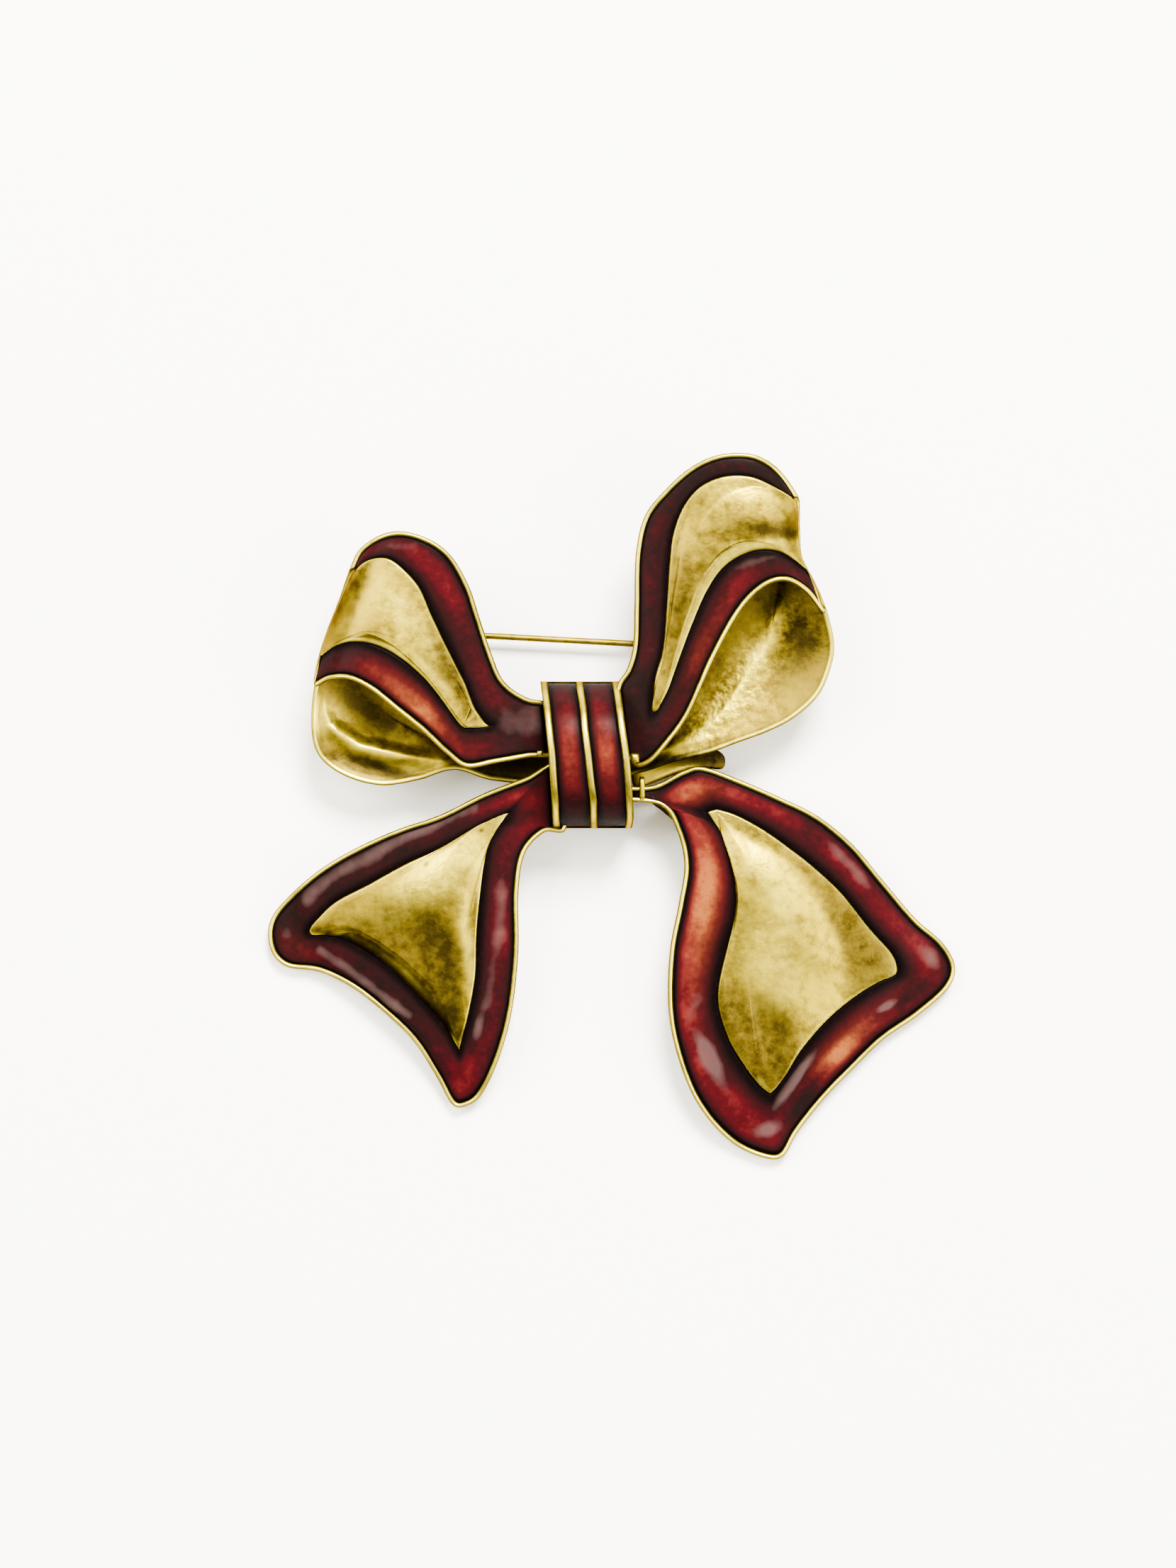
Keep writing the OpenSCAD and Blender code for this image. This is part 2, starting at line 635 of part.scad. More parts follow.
module pin_hinge() {
    color("darkgoldenrod") at_hinge() difference() {
        union() {
            translate([-2, -lug_y - lug_t, plate_top - plate_t])
                cube([4.6, 2 * (lug_y + lug_t), plate_t]);
            for (y = [-lug_y - lug_t, lug_y]) {
                translate([0, y + lug_t, stem_z]) rotate([90, 0, 0]) cylinder(r = stem_z, h = lug_t);
                translate([-stem_z, y, stem_z])
                    cube([2 * stem_z, lug_t, plate_top - plate_t / 2 - stem_z]);
            }
        }
        translate([0, lug_y + lug_t + 1, stem_z]) rotate([90, 0, 0])
            cylinder(r = rivet_r + 0.02, h = 2 * (lug_y + lug_t + 1));
    }
}
module hinge_rivet() {
    color("gray") at_hinge() translate([0, lug_y + lug_t, stem_z]) rotate([90, 0, 0])
        cylinder(r = rivet_r, h = 2 * (lug_y + lug_t));
}
module along_stem(x) {
    translate([x, 0, stem_z]) rotate([0, 90, 0]) children();
}
module pin_stem() {
    color("lightgray") at_hinge() difference() {
        union() {
            translate([0, eye_w / 2, stem_z]) rotate([90, 0, 0]) cylinder(r = eye_r, h = eye_w);
            along_stem(0.7) cylinder(r = shank_r, h = shank_len - taper - 0.7);
            along_stem(shank_len - taper) cylinder(r1 = shank_r, r2 = stem_r, h = taper);
            along_stem(shank_len) cylinder(r = stem_r, h = stem_len - point_len - shank_len);
            along_stem(stem_len - point_len) cylinder(r1 = stem_r, r2 = point_r, h = taper);
            along_stem(stem_len - point_len + taper)
                cylinder(r = point_r, h = point_len - taper - point_cone);
            along_stem(stem_len - point_cone) cylinder(r1 = point_r, r2 = 0.08, h = point_cone);
        }
        translate([0, eye_w / 2 + 1, stem_z]) rotate([90, 0, 0])
            cylinder(r = rivet_r + eye_fit, h = eye_w + 2);
    }
}
module pin_catch() {
    slot = stem_r + 0.12;
    color("darkgoldenrod") at_catch() union() {
        translate([-1.5, -1.6, plate_top - plate_t]) cube([3, 3.2, plate_t]);
        for (y = [-slot - 0.8, slot])
            translate([-1, y, 0]) cube([2, 0.8, plate_top - plate_t / 2]);
    }
}

translate([shift_x, shift_y, 0]) {
    bow_casting();
    enamel_left_loop();
    enamel_right_loop();
    enamel_left_tail();
    enamel_right_tail();
    enamel_knot_left();
    enamel_knot_right();
    pin_hinge();
    hinge_rivet();
    pin_stem();
    pin_catch();
}
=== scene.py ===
import math

import bpy
import numpy as np
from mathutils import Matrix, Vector


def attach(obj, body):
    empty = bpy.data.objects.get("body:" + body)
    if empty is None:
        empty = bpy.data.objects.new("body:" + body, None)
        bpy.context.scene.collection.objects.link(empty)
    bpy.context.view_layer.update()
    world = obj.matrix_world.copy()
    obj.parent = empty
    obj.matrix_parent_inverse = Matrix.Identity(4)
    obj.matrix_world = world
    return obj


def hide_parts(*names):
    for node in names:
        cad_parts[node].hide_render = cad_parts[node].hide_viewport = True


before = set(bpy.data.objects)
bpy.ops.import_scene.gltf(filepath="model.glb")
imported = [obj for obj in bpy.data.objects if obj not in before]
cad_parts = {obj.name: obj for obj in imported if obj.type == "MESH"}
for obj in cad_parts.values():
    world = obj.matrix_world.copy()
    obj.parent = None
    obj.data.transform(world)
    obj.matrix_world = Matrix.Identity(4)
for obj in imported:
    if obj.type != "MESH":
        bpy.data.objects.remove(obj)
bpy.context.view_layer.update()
print("frame loaded")

# Sizes in millimetres, the same as in the CAD model.
metal = {"thick": 1.3, "channel": 0.6, "panel": 0.15, "rail": 0.75, "knotTop": 12.0,
         "knotWide": 7.9, "knotLong": 15.7, "knotBack": 2.6, "gap": 0.04}
knotMiddle = (-2.65, 5.8, 0)  # in the frame
pointsPerRow = 12  # of the leaves and dishes
pointsPerStation = 8  # of the knot, the web and the fold heights


# A curve through the rows: between two rows it is the cubic whose slope at each row is half the
# step between that row's neighbours.
def curveThrough(rows, parts, closed):
    r = np.asarray(rows, float)
    n = len(r)
    spans = n if closed else n - 1
    i = np.repeat(np.arange(spans), parts)
    t = np.tile(np.arange(parts) / parts, spans)[:, None]

    def pick(j):
        return r[j % n] if closed else r[np.clip(j, 0, n - 1)]
    a, b, c, d = pick(i - 1), pick(i), pick(i + 1), pick(i + 2)
    out = (2 * b + (c - a) * t + (2 * a - 5 * b + 4 * c - d) * t ** 2
           + (3 * b - a - 3 * c + d) * t ** 3) / 2
    return out if closed else np.vstack([out, r[-1:]])


# Inward normal of a closed ring; turn is 1 for an anticlockwise one.
def ringNormal(ring, turn):
    d = np.roll(ring, -1, 0) - np.roll(ring, 1, 0)
    n = np.stack([-d[:, 1], d[:, 0]], 1) * turn
    return n / np.linalg.norm(n, axis=1)[:, None]


# The ring with each point moved d millimetres along its inward normal.
def inset(ring, d, turn):
    return ring + np.asarray(d).reshape(-1, 1) * ringNormal(ring, turn)


# The ring drawn straight toward the point c by a share of the way.
def toward(ring, c, share):
    return ring + (c - ring) * share


# Place on a closed curve, counted in points and parts of one.
def atPoint(ring, i):
    at = np.floor(i).astype(int)
    f = (i - at)[:, None]
    return ring[at % len(ring)] * (1 - f) + ring[(at + 1) % len(ring)] * f


# Shares of the way along a leaf (t) and across it (v) of a ring's points, once the ring is
# drawn together by a share of the way to the middle.
def places(shape, count, share):
    a, b, c = shape["corners"]
    i = np.arange(count)
    side = [i <= a, i <= b, i <= c]
    t = np.select(side, [i / a, 1.0, (c - i) / (c - b)], 0.0)
    v = np.select(side, [0.0, (i - a) / (b - a), 1.0], (count - i) / (count - c))
    return t + (0.5 - t) * share, v + (0.5 - v) * share


# The ring drawn together: each point lies between the two sides plus between the two ends,
# less what the four corners give.
def shrunk(shape, ring, share):
    a, b, c = shape["corners"]
    t, v = places(shape, len(ring), share)
    tt, vv = t[:, None], v[:, None]
    sides = (1 - vv) * atPoint(ring, t * a) + vv * atPoint(ring, c - t * (c - b))
    ends = ((1 - tt) * atPoint(ring, len(ring) - v * (len(ring) - c))
            + tt * atPoint(ring, a + (b - a) * v))
    near = (1 - vv) * ring[0] + vv * ring[c]
    far = (1 - vv) * ring[a] + vv * ring[b]
    return sides + ends - (1 - tt) * near - tt * far


# Share by which each point of a ring is drawn in to move about d millimetres inward: d over the
# movement that a small share gives, evened out over the points near it with falling weights.
def shareFor(shape, ring, d):
    step = ((shrunk(shape, ring, 0.02) - ring) * ringNormal(ring, shape["turn"])).sum(1) / 0.02
    share = np.minimum(d / np.maximum(step, 0.4), 0.4)
    return sum(np.roll(share, k) * (1 - abs(k) / 10) for k in range(-9, 10)) / 10


# Outline and panel of a leaf from its rows. Cut is 1 where it has a rim and 0 at a loop's end,
# and along gives a place's share of the loop's length, 1 on the line through its far corners.
def leafShape(leaf):
    parts = pointsPerRow
    w, h = leaf["reach"]
    scale = np.array([leaf["side"] * w, leaf["rise"] * h])
    rows = np.array(list(leaf["rows"]) + list(leaf["ends"]), float)
    both = curveThrough(rows, parts, True)
    outline = both[:, :2] * scale
    panel = both[:, 2:] * scale
    count = len(outline)
    used = count if not leaf["ends"] else parts * (len(leaf["rows"]) - 1) + 1
    cut = (np.arange(count) < used).astype(float)
    corners = [parts * i for i in leaf["corners"]] + [parts * (len(leaf["rows"]) - 1)]
    shape = {"outline": outline, "panel": panel, "cut": cut, "used": used, "scale": scale,
             "turn": leaf["side"] * leaf["rise"], "corners": corners}
    if leaf["ends"]:
        a = rows[0, :2] * scale
        b = rows[len(leaf["rows"]) - 1, :2] * scale
        far = (b - a) if leaf["side"] < 0 else (a - b)
        n = np.array([far[1], -far[0]]) / np.linalg.norm(far)
        shape["along"] = n / (a @ n)
    return shape


# Height of the rims: read off the fold curve by the place's share of a loop's length, or of a
# tail's reach from the knot.
def rimHeight(shape, p):
    if "along" in shape:
        return metal["knotTop"] * np.interp(p @ shape["along"], loopLine[:, 0], loopLine[:, 1])
    u = np.linalg.norm(p / shape["scale"], axis=-1)
    return metal["knotTop"] * np.interp(u, tailLine[:, 0], tailLine[:, 1])


# Round swells added up, each falling off from its middle as e to the minus square of the
# distance over its radius.
def swell(leaf, shape, p):
    q = p / shape["scale"]
    total = np.zeros(len(p))
    for x, y, r, high in leaf["swells"]:
        total += high * np.exp(-((q - (x, y)) ** 2).sum(1) / r ** 2)
    return total


# Bells added up: each falls off with the square of the distance, measured in its own half
# length along its turn and its half width across it.
def bells(p, table):
    total = np.zeros(len(p))
    for x, y, long, short, turned, high in table:
        d = p[:, :2] - (x, y)
        c, s = math.cos(math.radians(turned)), math.sin(math.radians(turned))
        along = (d[:, 0] * c + d[:, 1] * s) / long
        aside = (d[:, 1] * c - d[:, 0] * s) / short
        total += high * np.exp(-along ** 2 - aside ** 2)
    return total


# Marks along paths added up: each falls off as a bell with the distance from its path, wide on
# one hand and narrow on the other. Column 3 of a fold is its strength, column 4 its height.
def alongPaths(p, table, column):
    total = np.zeros(len(p))
    for fold in table:
        path = np.array(fold[0])
        best = np.full(len(p), 1e9)
        left = np.zeros(len(p), bool)
        for a, b in zip(path[:-1], path[1:]):
            d = b - a
            t = np.clip(((p[:, :2] - a) @ d) / (d @ d), 0, 1)
            off = p[:, :2] - a - t[:, None] * d
            far = np.hypot(off[:, 0], off[:, 1])
            near = far < best
            left = np.where(near, d[0] * off[:, 1] - d[1] * off[:, 0] > 0, left)
            best = np.minimum(best, far)
        total += fold[column] * np.exp(-(best / np.where(left, fold[1], fold[2])) ** 2)
    return total


# A mesh in metres from points in mm, with its marks as attributes of the points.
def newMesh(name, points, faces, marks, material):
    mesh = bpy.data.meshes.new(name)
    p = (points + np.array(knotMiddle)) * 0.001
    mesh.from_pydata(p.tolist(), [], faces)
    for label, values in marks.items():
        layer = mesh.attributes.new(label, "FLOAT", "POINT")
        layer.data.foreach_set("value", np.asarray(values, np.float32))
    mesh.polygons.foreach_set("use_smooth", np.ones(len(mesh.polygons), bool))
    mesh.materials.append(material)
    mesh.update()
    obj = bpy.data.objects.new(name, mesh)
    bpy.context.scene.collection.objects.link(obj)
    return obj


# Body between closed rings of the same count, closed at both ends by fans.
def stackMesh(name, rings, marks, material, turn):
    m, n = len(rings), len(rings[0])
    points = np.vstack([*rings, rings[0].mean(0), rings[-1].mean(0)])
    j = np.arange(n)
    k = (j + 1) % n
    quads = np.vstack([np.stack([i * n + j, i * n + k, (i + 1) * n + k, (i + 1) * n + j], 1)
                       for i in range(m - 1)])
    first = np.stack([np.full(n, m * n), k, j], 1)
    last = np.stack([np.full(n, m * n + 1), (m - 1) * n + j, (m - 1) * n + k], 1)
    faces = quads.tolist() + first.tolist() + last.tolist()
    if turn < 0:
        faces = [f[::-1] for f in faces]
    values = {label: np.ravel(v) for label, v in marks.items()}
    values = {label: np.append(v, [v[0], v[-1]]) for label, v in values.items()}
    return newMesh(name, points, faces, values, material)


# Bar carried along a path through closed sections of the same count; its faces are turned
# outward by flip.
def barMesh(name, sections, marks, material, closed, flip):
    m, n = sections.shape[:2]
    points = sections.reshape(-1, 3)
    i = np.arange(m if closed else m - 1)
    i2 = (i + 1) % m
    j = np.arange(n)
    k = (j + 1) % n
    a = (i[:, None] * n + j).ravel()
    b = (i[:, None] * n + k).ravel()
    c = (i2[:, None] * n + k).ravel()
    d = (i2[:, None] * n + j).ravel()
    faces = np.stack([a, b, c, d], 1).tolist()
    if not closed:
        faces.append(list(range(n))[::-1])
        faces.append(list(range((m - 1) * n, m * n)))
    if flip:
        faces = [f[::-1] for f in faces]
    return newMesh(name, points, faces, {label: v.ravel() for label, v in marks.items()}, material)


# Node helpers for the materials.
def newNode(tree, kind, **values):
    node = tree.nodes.new(kind)
    for name, value in values.items():
        setattr(node, name, value)
    return node


def noiseNode(tree, vector, noise):
    node = newNode(tree, "ShaderNodeTexNoise")
    for name, value in zip(("Scale", "Detail", "Roughness"), noise):
        node.inputs[name].default_value = value
    tree.links.new(vector, node.inputs["Vector"])
    return node.outputs["Fac"]


def rampNode(tree, value, stops):
    node = newNode(tree, "ShaderNodeValToRGB")
    ramp = node.color_ramp
    while len(ramp.elements) < len(stops):
        ramp.elements.new(0.5)
    for element, (at, color) in zip(ramp.elements, stops):
        element.position = at
        element.color = (*color, 1.0)
    tree.links.new(value, node.inputs["Fac"])
    return node.outputs["Color"]


def mixColor(tree, factor, a, b, kind="MIX"):
    node = newNode(tree, "ShaderNodeMix", data_type="RGBA", blend_type=kind)
    for value, at in ((factor, 0), (a, 6), (b, 7)):
        if hasattr(value, "is_linked"):
            tree.links.new(value, node.inputs[at])
        elif at == 0:
            node.inputs[at].default_value = value
        else:
            node.inputs[at].default_value = (*value, 1.0)
    return node.outputs[2]


def mathNode(tree, kind, a, b, clamp=False):
    node = newNode(tree, "ShaderNodeMath", operation=kind, use_clamp=clamp)
    for value, at in ((a, 0), (b, 1)):
        if hasattr(value, "is_linked"):
            tree.links.new(value, node.inputs[at])
        else:
            node.inputs[at].default_value = value
    return node.outputs[0]


def plus(tree, a, b):
    return mathNode(tree, "ADD", a, b)


def times(tree, a, b):
    return mathNode(tree, "MULTIPLY", a, b)


# A noise about its middle value, times a share.
def swing(tree, noise, share):
    return times(tree, mathNode(tree, "SUBTRACT", noise, 0.5), share)


# A value from low to high is spread evenly from first to last, and held there beyond them.
def spread(tree, value, low, high, first=0.0, last=1.0):
    node = newNode(tree, "ShaderNodeMapRange", clamp=True)
    tree.links.new(value, node.inputs["Value"])
    for name, v in (("From Min", low), ("From Max", high), ("To Min", first), ("To Max", last)):
        node.inputs[name].default_value = v
    return node.outputs["Result"]


# A new material with its nodes, its shader and its Object coordinates.
def newMaterial(name):
    material = bpy.data.materials.new(name)
    material.use_nodes = True
    tree = material.node_tree
    coords = newNode(tree, "ShaderNodeTexCoord").outputs["Object"]
    return material, tree, tree.nodes["Principled BSDF"], coords


def attribute(tree, label):
    return newNode(tree, "ShaderNodeAttribute", attribute_name=label).outputs["Fac"]


def bumpFrom(tree, height, strength, distance):
    node = newNode(tree, "ShaderNodeBump")
    node.inputs["Strength"].default_value = strength
    node.inputs["Distance"].default_value = distance
    tree.links.new(height, node.inputs["Height"])
    return node.outputs["Normal"]


# Old gilt metal: colours from dark olive to bright gold, lighter or darker by its tone and by
# painted light and shade, of its polished places and painted highlights, its stains, and its dirt
# and painted shade, and the tint of its glancing reflections. Its noises, each a scale, a detail
# and a roughness, make clouds of 6 mm, mottles of 1 mm, dents of 0.7 mm and specks of 0.4 mm.
giltLook = {
    "gold": [(0.0, (0.005, 0.0034, 0.0006)), (0.25, (0.026, 0.0178, 0.0022)),
             (0.5, (0.115, 0.08, 0.004)), (0.75, (0.24, 0.172, 0.002)),
             (1.0, (0.42, 0.318, 0.002))],
    # The polished colour also paints highlights, and the dirt colour also paints shade.
    "polished_and_painted_highlight": (0.68, 0.55, 0.03), "stain": (0.03, 0.017, 0.0015), "dirt_and_painted_shade": (0.006, 0.004, 0.002),
    "glance": (0.3, 0.21, 0.04, 1), "bump": 0.0002, "rough": (0.34, 0.46),
    "clouds": (170, 4, 0.55), "mottle": (900, 5, 0.65), "dents": (1500, 1, 0.5),
    "specks": (2600, 3, 0.6)}
giltMarks = ("Dirt_and_painted_shade", "Polish_and_painted_highlight", "Painted_light_and_tone", "Hammered")


# Group: mottled patina with painted light and shade. Two sizes of noise and the tone, with its
# painted light and shade, pick a gold, then stains, polish with painted highlights, and dirt with
# painted shade are laid over it; it gives a colour, a roughness and a height.
def patinaAndPaintedLightGroup():
    tree = bpy.data.node_groups.new("gilt_patina_and_painted_light", "ShaderNodeTree")
    face = tree.interface
    face.new_socket("Vector", in_out="INPUT", socket_type="NodeSocketVector")
    for label in giltMarks:
        face.new_socket(label, in_out="INPUT", socket_type="NodeSocketFloat")
    for label, kind in (("Color", "Color"), ("Roughness", "Float"), ("Height", "Float")):
        face.new_socket(label, in_out="OUTPUT", socket_type="NodeSocket" + kind)
    enter = newNode(tree, "NodeGroupInput")
    leave = newNode(tree, "NodeGroupOutput")
    vector, dirt_and_shade_input, polished_and_painted_highlight, toned, beaten = (enter.outputs[k] for k in ("Vector", *giltMarks))
    broad = noiseNode(tree, vector, giltLook["clouds"])
    fine = noiseNode(tree, vector, giltLook["mottle"])
    specks = noiseNode(tree, vector, giltLook["specks"])
    cloud = plus(tree, times(tree, broad, 0.45), times(tree, fine, 0.55))
    # The tone takes in the painted light and shade of the marks.
    painted_light_and_tone = plus(tree, times(tree, toned, 0.55), spread(tree, cloud, 0.3, 0.7, 0.39, 0.72))
    dents = noiseNode(tree, vector, giltLook["dents"])
    painted_light_and_tone = plus(tree, painted_light_and_tone, times(tree, beaten, spread(tree, dents, 0.35, 0.65, -0.3, 0.3)))
    gold = rampNode(tree, painted_light_and_tone, giltLook["gold"])
    stain = times(tree, broad, fine)
    stained = mixColor(tree, spread(tree, stain, 0.16, 0.24, 0.3, 0.0), gold, giltLook["stain"])
    # Polish and painted highlights.
    polish_and_painted_highlight = times(tree, polished_and_painted_highlight, spread(tree, broad, 0.36, 0.52, 0.6, 1.0))
    bright = mixColor(tree, polish_and_painted_highlight, stained, giltLook["polished_and_painted_highlight"])
    # Dirt and painted shade.
    painted_shade_and_grime = times(tree, dirt_and_shade_input, spread(tree, fine, 0.25, 0.6, 0.7, 1.0))
    final = mixColor(tree, painted_shade_and_grime, bright, giltLook["dirt_and_painted_shade"])
    rough = spread(tree, fine, 0.35, 0.65, *giltLook["rough"])
    rough = plus(tree, rough, times(tree, dirt_and_shade_input, 0.3))
    rough = mathNode(tree, "SUBTRACT", rough, times(tree, polished_and_painted_highlight, 0.08), clamp=True)
    height = plus(tree, times(tree, fine, 0.7), times(tree, specks, 0.3))
    height = plus(tree, height, times(tree, times(tree, beaten, 2.5), dents))
    tree.links.new(final, leave.inputs["Color"])
    tree.links.new(rough, leave.inputs["Roughness"])
    tree.links.new(height, leave.inputs["Height"])
    return tree


patinaAndPaintedLight = patinaAndPaintedLightGroup()


# Gilt metal; its dirt and painted shade, polish and painted highlights, tone and painted light,
# and beating are the piece's own marks where it has them.
def giltMaterial(name, marked=True, tint=(1, 1, 1), bump=0.25):
    material, tree, shader, coords = newMaterial(name)
    group = newNode(tree, "ShaderNodeGroup", node_tree=patinaAndPaintedLight)
    tree.links.new(coords, group.inputs["Vector"])
    if marked:
        for label in giltMarks:
            tree.links.new(attribute(tree, label.lower()), group.inputs[label])
    color = mixColor(tree, 1.0, group.outputs["Color"], tint, "MULTIPLY")
    normal = bumpFrom(tree, group.outputs["Height"], bump, giltLook["bump"])
    tree.links.new(color, shader.inputs["Base Color"])
    tree.links.new(group.outputs["Roughness"], shader.inputs["Roughness"])
    tree.links.new(normal, shader.inputs["Normal"])
    shader.inputs["Metallic"].default_value = 1.0
    shader.inputs["Specular Tint"].default_value = giltLook["glance"]
    return material


# Red enamel: near black at its edges, where it is deep, and red to orange where the metal shines
# through in the middle, with a pale painted reflection and dark specks, under a faint gloss. Its
# noises make clouds of 4 mm, grain of 0.7 mm and low waves of 2.4 mm.
enamelLook = {
    "crimson": [(0.0, (0.0033, 0.0018, 0.0017)), (0.25, (0.0088, 0.0013, 0.0018)),
                (0.5, (0.022, 0.0008, 0.0022)), (0.75, (0.05, 0.0028, 0.0046)),
                (1.0, (0.1, 0.012, 0.01))],
    "amber": [(0.0, (0.0035, 0.0012, 0.001)), (0.25, (0.01, 0.0015, 0.0014)),
              (0.5, (0.025, 0.0035, 0.0022)), (0.75, (0.062, 0.012, 0.0042)),
              (1.0, (0.14, 0.04, 0.008))],
    # The pale colour is that of the painted reflection.
    "painted_reflection": (0.06, 0.036, 0.034), "edge": (0.001, 0.0005, 0.0006), "speck": (0.012, 0.003, 0.005),
    "clouds": (260, 3, 0.5), "grain": (1500, 3, 0.6), "waves": (420, 2, 0.4), "bump": 0.0004,
    "rough": (0.25, 0.4), "specular": 0.003, "gloss": 0.015, "glossRough": 0.3}


# The light in the enamel is its glow, painted light and shade, plus two sizes of noise, less
# towards the edges.
def enamelMaterial(name):
    material, tree, shader, coords = newMaterial(name)
    across = attribute(tree, "across")
    # The glow is painted light and shade along the enamel.
    painted_glow = attribute(tree, "painted_glow")
    cloud = noiseNode(tree, coords, enamelLook["clouds"])
    grain = noiseNode(tree, coords, enamelLook["grain"])
    light = plus(tree, painted_glow, swing(tree, cloud, 0.8))
    light = plus(tree, light, swing(tree, grain, 0.5))
    light = mathNode(tree, "MULTIPLY", light, spread(tree, across, 0.2, 1.0), clamp=True)
    crimson = rampNode(tree, light, enamelLook["crimson"])
    amber = rampNode(tree, light, enamelLook["amber"])
    lit = mixColor(tree, attribute(tree, "amber"), crimson, amber)
    # A pale painted reflection is laid over the enamel by its mark and the clouds.
    patch = plus(tree, attribute(tree, "painted_reflection"), swing(tree, cloud, 0.6))
    with_painted_reflection = mixColor(tree, spread(tree, patch, 0.14, 0.4, 0.0, 0.45), lit, enamelLook["painted_reflection"])
    edged = mixColor(tree, spread(tree, across, 0.15, 0.5), enamelLook["edge"], with_painted_reflection)
    speckled = mixColor(tree, times(tree, spread(tree, grain, 0.55, 0.75), 0.12),
                        edged, enamelLook["speck"])
    waves = noiseNode(tree, coords, enamelLook["waves"])
    normal = bumpFrom(tree, waves, 0.12, enamelLook["bump"])
    tree.links.new(speckled, shader.inputs["Base Color"])
    tree.links.new(normal, shader.inputs["Normal"])
    tree.links.new(spread(tree, grain, 0.3, 0.7, *enamelLook["rough"]),
                   shader.inputs["Roughness"])
    shader.inputs["Specular IOR Level"].default_value = enamelLook["specular"]
    tree.links.new(spread(tree, across, 0.0, 1.0, 0.0, enamelLook["gloss"]),
                   shader.inputs["Coat Weight"])
    shader.inputs["Coat Roughness"].default_value = enamelLook["glossRough"]
    return material


gilt = giltMaterial("gilt_metal")
giltPlain = giltMaterial("gilt_findings", marked=False, tint=(0.85, 0.82, 0.75))
wire = giltMaterial("pin_wire", marked=False, tint=(0.9, 0.92, 0.95), bump=0.1)
red = enamelMaterial("red_enamel_glaze")
print("materials made")

# Leaves of the bow: its two loops and two tails. Rows are stations round a leaf: rim across, rim
# up, panel across and panel up, in shares of its reach in mm; ends are the rows where a loop's
# metal turns over without a rim. Corners are the rows where its long and short sides meet, and
# swells lift the panel: across, up, radius, height. Glow is the painted light and shade of the
# enamel at each row, from dark 0 to bright 1.
# Marks are in mm from the knot's middle. Bells, painted highlights, pits, hammered, painted light
# spots, painted reflections and amber: across, up, half length, half width, turn in degrees,
# strength. Folds and painted reflection streaks: a path, how far the mark reaches to its left and
# to its right, strength, and for a fold its height in mm. Bells and folds paint light and shade
# on the gold: bright, or olive below 0, partly the patina's own olive. Painted highlights brighten
# the gold as polish does, pits hold dirt and hammered metal is beaten. Painted light spots light
# the enamel, or paint shade on it below 0; amber turns its crimson to orange, and painted
# reflections and their streaks lay a pale sheen over it.
leftLoop = {
    "corners": (11, 12), "reach": (28.7, 23.0), "side": -1, "rise": 1, "puff": 0.25,
    "rows": [
        (0.85, 0.845, 0.83, 0.825), (0.815, 0.925, 0.785, 0.87), (0.74, 0.985, 0.72, 0.88),
        (0.655, 1, 0.665, 0.84), (0.555, 0.96, 0.6, 0.75), (0.48, 0.885, 0.555, 0.625),
        (0.42, 0.755, 0.515, 0.52), (0.38, 0.605, 0.475, 0.42), (0.34, 0.455, 0.435, 0.32),
        (0.295, 0.33, 0.4, 0.21), (0.21, 0.255, 0.365, 0.145), (0.085, 0.21, 0.35, 0.125),
        (0.085, 0.01, 0.385, 0.12), (0.21, -0.015, 0.415, 0.12), (0.325, -0.04, 0.44, 0.12),
        (0.43, -0.06, 0.465, 0.15), (0.505, 0.005, 0.515, 0.24), (0.59, 0.105, 0.58, 0.34),
        (0.68, 0.195, 0.67, 0.435), (0.77, 0.285, 0.755, 0.49), (0.85, 0.335, 0.83, 0.505),
        (0.92, 0.335, 0.895, 0.49), (0.98, 0.31, 0.955, 0.445)],
    "ends": [(0.97, 0.42, 0.95, 0.49), (0.94, 0.545, 0.93, 0.56), (0.89, 0.705, 0.88, 0.7)],
    "swells": [(0.8, 0.7, 0.18, 0.5), (0.6, 0.5, 0.2, 0.3)],
    "painted_glow": [0.2, 0.3, 0.35, 0.35, 0.4, 0.4, 0.35, 0.3, 0.25, 0.2, 0.15, 0.15, 0.15, 0.2, 0.25,
             0.3, 0.5, 0.8, 0.8, 0.55, 0.35, 0.25, 0.15],
    "bells": [(-23.3, 18.0, 2.6, 1.2, 60, -0.5), (-19.3, 14.1, 5.0, 2.0, -60, 0.55),
              (-13.9, 8.6, 4.0, 0.9, -62, -0.5), (-25.9, 14.4, 3.2, 0.9, 65, -0.5),
              (-20.5, 19.2, 1.5, 1.0, 0, 0.15)],
    "folds": [([(-19.5, 11.6), (-16.2, 8.3), (-13.4, 5.2)], 0.5, 1.6, 0.5, 0.0)],
    "painted_highlights": [(-18.5, 14.0, 4.5, 1.2, -60, 0.3), (-15.6, 8.0, 3.0, 0.3, -50, 0.4)],
    "hammered": [(-19.0, 13.5, 5.0, 3.0, -60, 0.15)],
    "painted_reflection": [(-6.6, 3.2, 3.0, 2.0, 0, 0.24), (-19.8, 21.4, 2.0, 0.6, 0, 0.22)],
    "amber": [(-17.6, 5.0, 5.5, 2.0, -38, 0.9)],
}
